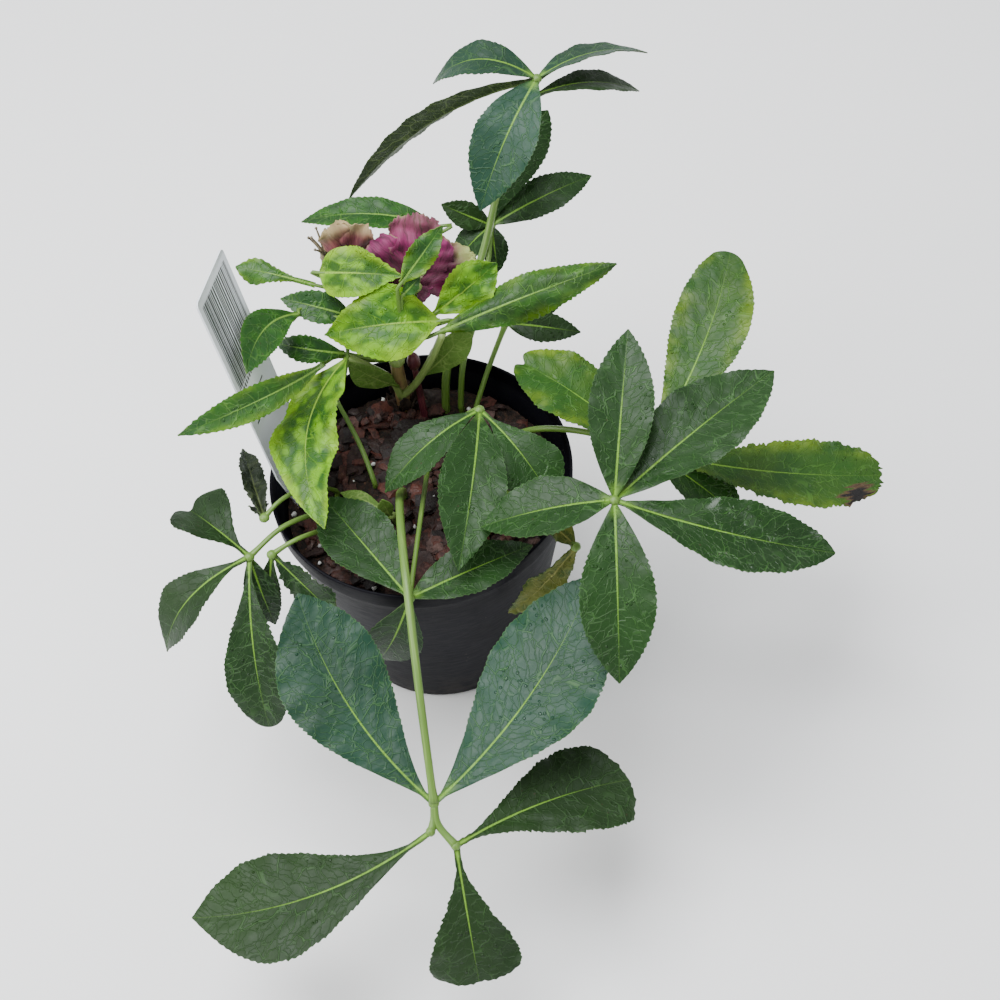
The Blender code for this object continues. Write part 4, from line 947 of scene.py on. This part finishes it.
# Pot, from its inside floor over the lip and down to the underside
RIM_RADIUS = 85.0
BASE_RADIUS = 60.0
POT_HEIGHT = 155.0
WALL = 1.8
LIP_LOW = 143.0
FLOOR_TOP = 2.4
CORNER_TOP = 3.9
HUB_HOLE = 3.0
OUTER_TOP = RIM_RADIUS - 2.6
INNER_TOP = OUTER_TOP - WALL
OUTER_LOW = BASE_RADIUS + 1.0
INNER_LOW = OUTER_LOW - WALL - 1.6
POT_SIDES = 160


def arc(cx, cz, radius, start, end, count):
    """Points along an arc, with both its ends."""
    return [(cx + radius * math.cos(a), cz + radius * math.sin(a)) for a in np.linspace(start, end, count)]


def slope(start, end, steps):
    """Points down or up a straight wall, without the first."""
    (r0, z0), (r1, z1) = start, end
    return [(r0 + (r1 - r0) * k / steps, z0 + (z1 - z0) * k / steps) for k in range(1, steps + 1)]


def lathe(piece, profile, sides, mat):
    """A profile of (radius, height) points turned round the upright axis."""
    profile = np.array(profile, float)
    turn = np.arange(sides) * TAU / sides
    radius, height = profile[:, 0][:, None], profile[:, 1][:, None]
    points = np.stack(np.broadcast_arrays(radius * np.cos(turn), radius * np.sin(turn), height), -1)
    uv = np.stack(np.broadcast_arrays((turn * 8.0)[None, :], height / 10.0), -1).reshape(-1, 2)
    quads = grid_quads(len(profile), sides, wrap=True)[:, ::-1]
    piece.add(points.reshape(-1, 3), quads, uv, uv * 0.1, mat)


pot = Piece("pot_fine")
profile = [(HUB_HOLE, FLOOR_TOP), (INNER_LOW - 1.5, FLOOR_TOP), (INNER_LOW, CORNER_TOP)]
profile += slope((INNER_LOW, CORNER_TOP), (INNER_TOP, LIP_LOW - 1.0), 12)
profile += [(RIM_RADIUS - WALL - 0.4, LIP_LOW + 1.4), (RIM_RADIUS - WALL, LIP_LOW + 3.0)]
profile += arc(RIM_RADIUS - WALL / 2, POT_HEIGHT - 0.9, 0.9, math.pi, 0.0, 9)
profile += [(RIM_RADIUS, POT_HEIGHT - 4.0), (RIM_RADIUS - 0.1, POT_HEIGHT - 8.0)]
profile += arc(RIM_RADIUS - 1.0, LIP_LOW + 0.9, 0.8, 0.0, -math.pi / 2, 5)
profile += [(OUTER_TOP + 0.3, LIP_LOW - 0.1), (OUTER_TOP, LIP_LOW - 0.8)]
profile += slope((OUTER_TOP, LIP_LOW - 0.8), (OUTER_LOW, 3.4), 14)
profile += [(BASE_RADIUS + 0.4, 1.4), (BASE_RADIUS - 0.4, 0.3), (BASE_RADIUS - 1.5, 0.0)]
profile += [(HUB_HOLE, 0.0), (HUB_HOLE, FLOOR_TOP)]
lathe(pot, profile, POT_SIDES, POT)
pot.build("pot")

# Compost with bark chips and perlite
SOIL_RADIUS = INNER_LOW + (INNER_TOP - INNER_LOW) * (SOIL_TOP - CORNER_TOP) / (LIP_LOW - 4.9) - 0.5
SOIL_RINGS = 76
SOIL_SIDES = 220
LUMPS = ((3, 1.7, 26.0), (4, 0.8, 9.0), (5, 0.5, 3.5))  # seed, height and size of each roughness
CHIP_TRIES = 560
CHIP_LENGTHS = ((5, 10), (9, 17), (14, 24))
CHIP_SHARES = (0.35, 0.40, 0.25)
PERLITE_GRAINS = 34

soil = Piece("bark_soil_fine")
soil.angular = BARK
r, turn = np.meshgrid(np.linspace(0.02, 1.0, SOIL_RINGS) * SOIL_RADIUS,
                      np.arange(SOIL_SIDES) * TAU / SOIL_SIDES, indexing="ij")
x, y = r * np.cos(turn), r * np.sin(turn)
z = SOIL_TOP - 0.6
for seed, height, size in LUMPS:
    z = z + height * ripple(seed, (x, y), size)
z = z - 2.0 * np.clip((r / SOIL_RADIUS - 0.94) * 16.0, 0.0, 1.0)
uv = np.stack([x, y], -1).reshape(-1, 2) / 10.0
quads = grid_quads(SOIL_RINGS, SOIL_SIDES, wrap=True)[:, ::-1]
soil.add(np.stack([x, y, z], -1).reshape(-1, 3), quads, uv, uv, COMPOST)
plug = [(SOIL_RADIUS, SOIL_TOP - 2.2), (INNER_LOW - 0.6, 4.6), (INNER_LOW - 2.5, 2.9), (0.5, 2.9)]
lathe(soil, plug, 64, COMPOST)


def flake(where, size, yaw, tilt, tone, hue, seed, rings=7, sides=10):
    """A split chip of bark: a rough slab with broken ends."""
    rise, around = np.meshgrid(np.linspace(-1, 1, rings), np.arange(sides) * TAU / sides, indexing="ij")
    square = 1.0 / np.maximum(np.abs(np.cos(around)), np.abs(np.sin(around))) ** 0.75
    body = np.clip(1.12 - np.abs(rise) ** 7, 0.0, 1.0)
    px = rise * size[0] / 2.0
    py = np.cos(around) * square * body * size[1] / 2.0
    pz = np.sin(around) * square * body * size[2] / 2.0
    bend = 0.10 * size[0] * rise ** 2
    rough = ripple(seed, (px + around, py * 1.5 + pz * 2.0), 5.0)
    split = 0.10 * size[0] * ripple(seed + 1, (py, pz), 5.0)
    points = np.stack([px + split, py * (1 + 0.22 * rough), pz * (1 + 0.30 * rough) - bend], -1)
    turn = Matrix.Rotation(yaw, 3, "Z") @ Matrix.Rotation(tilt[0], 3, "X") @ Matrix.Rotation(tilt[1], 3, "Y")
    points = points.reshape(-1, 3) @ np.array(turn).T + np.asarray(where)
    uv = points[:, :2] / 10.0
    soil.add(points, closed_quads(rings, sides, inward=True), uv, uv, BARK, tone=tone, yellow=hue)


def scatter(rng, radius):
    """A random place on the soil: its distance from the middle, x and y."""
    reach = radius * math.sqrt(rng.uniform())
    turn = rng.uniform(0.0, TAU)
    return reach, reach * math.cos(turn), reach * math.sin(turn)


rng = np.random.RandomState(5)
stems = np.array(list(FEET.values()), float)
for i in range(CHIP_TRIES):
    reach, px, py = scatter(rng, SOIL_RADIUS - 5.0)
    long_side = rng.choice([rng.uniform(*span) for span in CHIP_LENGTHS], p=CHIP_SHARES)
    wide = long_side * rng.uniform(0.35, 0.62)
    thick = rng.uniform(1.4, 3.6)
    room = np.hypot(stems[:, 0] - px, stems[:, 1] - py) - stems[:, 2]
    if room.min() < wide * 0.55 or reach + long_side * 0.5 > SOIL_RADIUS + 1.0:
        continue
    height = SOIL_TOP + rng.uniform(-0.6, 3.4)
    flake((px, py, height), (long_side, wide, thick), rng.uniform(0, math.pi),
          (rng.uniform(-0.35, 0.35), rng.uniform(-0.3, 0.3)), rng.uniform(), rng.uniform(), 100 + i)
for i in range(PERLITE_GRAINS):
    _, px, py = scatter(rng, SOIL_RADIUS - 3.0)
    size = rng.uniform(0.6, 1.7)
    knob(soil, (px, py, SOIL_TOP + rng.uniform(1.5, 4.0)), size, PERLITE, lumps=0.35, rings=5, sides=8,
         seed=i)
soil.build("bark_soil")

# Label with generic bars
LABEL_WIDTH = 48.0
LABEL_TIP = 10.0
LABEL_STRAIGHT = 122.0
LABEL_LENGTH = 188.0
LABEL_CORNER = 3.0
CORNER_POINTS = 7
HALF_THICK = 0.45
INK_HEIGHT = 0.52
LABEL_TOP = np.array((-92.8, 39.3, 278.6))
upward = unit((-0.15, 0.17, 0.97))
sideways = np.array((0.19, 0.97, -0.14))
sideways = unit(sideways - upward * sideways.dot(upward))
facing = np.cross(upward, sideways)
facing = facing * np.sign(facing[0])


def on_label(u, v, out):
    """The point at u across and v down the slightly bent label, at a height from its middle plane."""
    bend = 0.000018 * (v + 60.0) ** 2
    return LABEL_TOP + sideways * u + upward * v + facing * (out + bend)


label = Piece("plant_label_fine")
inset = LABEL_WIDTH / 2 - LABEL_CORNER
edge = []
for cu, start in ((inset, 0.0), (-inset, math.pi / 2)):
    edge += arc(cu, -LABEL_CORNER, LABEL_CORNER, start, start + math.pi / 2, CORNER_POINTS)
left = [(-LABEL_WIDTH / 2, -LABEL_STRAIGHT * k / 10) for k in range(1, 11)]
left.append((-LABEL_TIP / 2, -LABEL_LENGTH))
edge += left + [(-u, v) for u, v in reversed(left)]
count = len(edge)
points = [on_label(u, v, out) for out in (HALF_THICK, -HALF_THICK) for u, v in edge]

# Its front and back join points of equal height, counted from the middle of the top edge
order = [(CORNER_POINTS + k) % count for k in range(count)]
front = [[order[k], order[k + 1], order[count - 2 - k], order[count - 1 - k]] for k in range(count // 2 - 1)]
back = [[k + count for k in face[::-1]] for face in front]
rim = [[k, (k + 1) % count, (k + 1) % count + count, k + count] for k in range(count)]
uv = np.array(edge + edge) / 10.0
label.add(np.array(points), np.array(front + back + rim), uv, uv * 0.1, LABEL_WHITE)


def printed(u0, u1, v0, v1):
    """A thin printed patch on the label's face."""
    steps = max(2, int((v1 - v0) / 6.0) + 1)
    points = np.array([on_label(u, v, INK_HEIGHT) for v in np.linspace(v0, v1, steps) for u in (u0, u1)])
    flat = np.zeros((len(points), 2))
    label.add(points, grid_quads(steps, 2), flat, flat, LABEL_INK)


# Bars at random widths, a row of dashes below them, four plain lines and a square
BARS_HALF = 20.0
BAR_WIDTHS = [0.5, 0.9, 1.4]
BAR_GAPS = [0.5, 0.8, 1.2]
DASH_PITCH = 2.7
LINE_PITCH = 4.0
rng = np.random.RandomState(8)
u = -BARS_HALF
while u < BARS_HALF:
    thick = rng.choice(BAR_WIDTHS)
    printed(u, u + thick, -60.0, -5.0)
    u += thick + rng.choice(BAR_GAPS)
for k in range(13):
    printed(-16.0 + DASH_PITCH * k, -14.6 + DASH_PITCH * k, -63.5, -61.0)
for k, width in enumerate((26.0, 18.0, 30.0, 12.0)):
    printed(-18.0, -18.0 + width, -74.0 - LINE_PITCH * k, -72.9 - LINE_PITCH * k)
printed(12.0, 18.0, -100.0, -94.0)
label.build("plant_label")

# Floor, light and camera
floor = Nodes("floor_pale")
speck = floor.noise(floor.place(), 9.0, 4.0)
floor.finish(floor.mix(speck, (0.91, 0.91, 0.91), (0.94, 0.94, 0.94)), 0.75)
bpy.ops.mesh.primitive_plane_add(size=12.0, location=(0.0, 0.0, -0.0005))
ground = bpy.context.object
ground.name = "floor"
ground.data.materials.append(floor.mat)

world = bpy.data.worlds.new("soft_daylight")
bpy.context.scene.world = world
world.use_nodes = True
sky_colour, sky_strength, *_ = world.node_tree.nodes["Background"].inputs
sky_colour.default_value = (0.97, 0.98, 1.0, 1.0)
sky_strength.default_value = 0.90


def area_light(name, place, aim, size, power, colour):
    """A square lamp; places and size in metres, power in watts."""
    data = bpy.data.lights.new(name, "AREA")
    data.shape = "SQUARE"
    data.size = size
    data.energy = power
    data.color = colour
    obj = bpy.data.objects.new(name, data)
    bpy.context.scene.collection.objects.link(obj)
    obj.location = place
    obj.rotation_euler = (Vector(aim) - Vector(place)).to_track_quat("-Z", "Y").to_euler()


area_light("sky_top", (-0.35, 0.15, 2.1), (0.04, 0.0, 0.10), 1.3, 62.0, (0.96, 0.98, 1.0))
area_light("sky_left", (-1.5, -0.3, 1.3), (0.0, 0.0, 0.12), 1.0, 24.0, (1.0, 0.99, 0.97))

cos_p, sin_p = math.cos(CAMERA_PITCH), math.sin(CAMERA_PITCH)
cos_r, sin_r = math.cos(CAMERA_ROLL), math.sin(CAMERA_ROLL)
forward = np.array((0.0, cos_p, -sin_p))
across, above = np.array((1.0, 0.0, 0.0)), np.array((0.0, sin_p, cos_p))
cam_right = cos_r * across + sin_r * above
cam_up = -sin_r * across + cos_r * above
spot = (CAMERA_AIM - forward * CAMERA_DISTANCE) * MM
camera_data = bpy.data.cameras.new("camera")
camera_data.lens = CAMERA_LENS
camera_data.sensor_width = 36.0
camera = bpy.data.objects.new("camera", camera_data)
bpy.context.scene.collection.objects.link(camera)
axes = np.column_stack([cam_right, cam_up, -forward, spot])
camera.matrix_world = Matrix([*axes.tolist(), (0.0, 0.0, 0.0, 1.0)])
bpy.context.scene.camera = camera
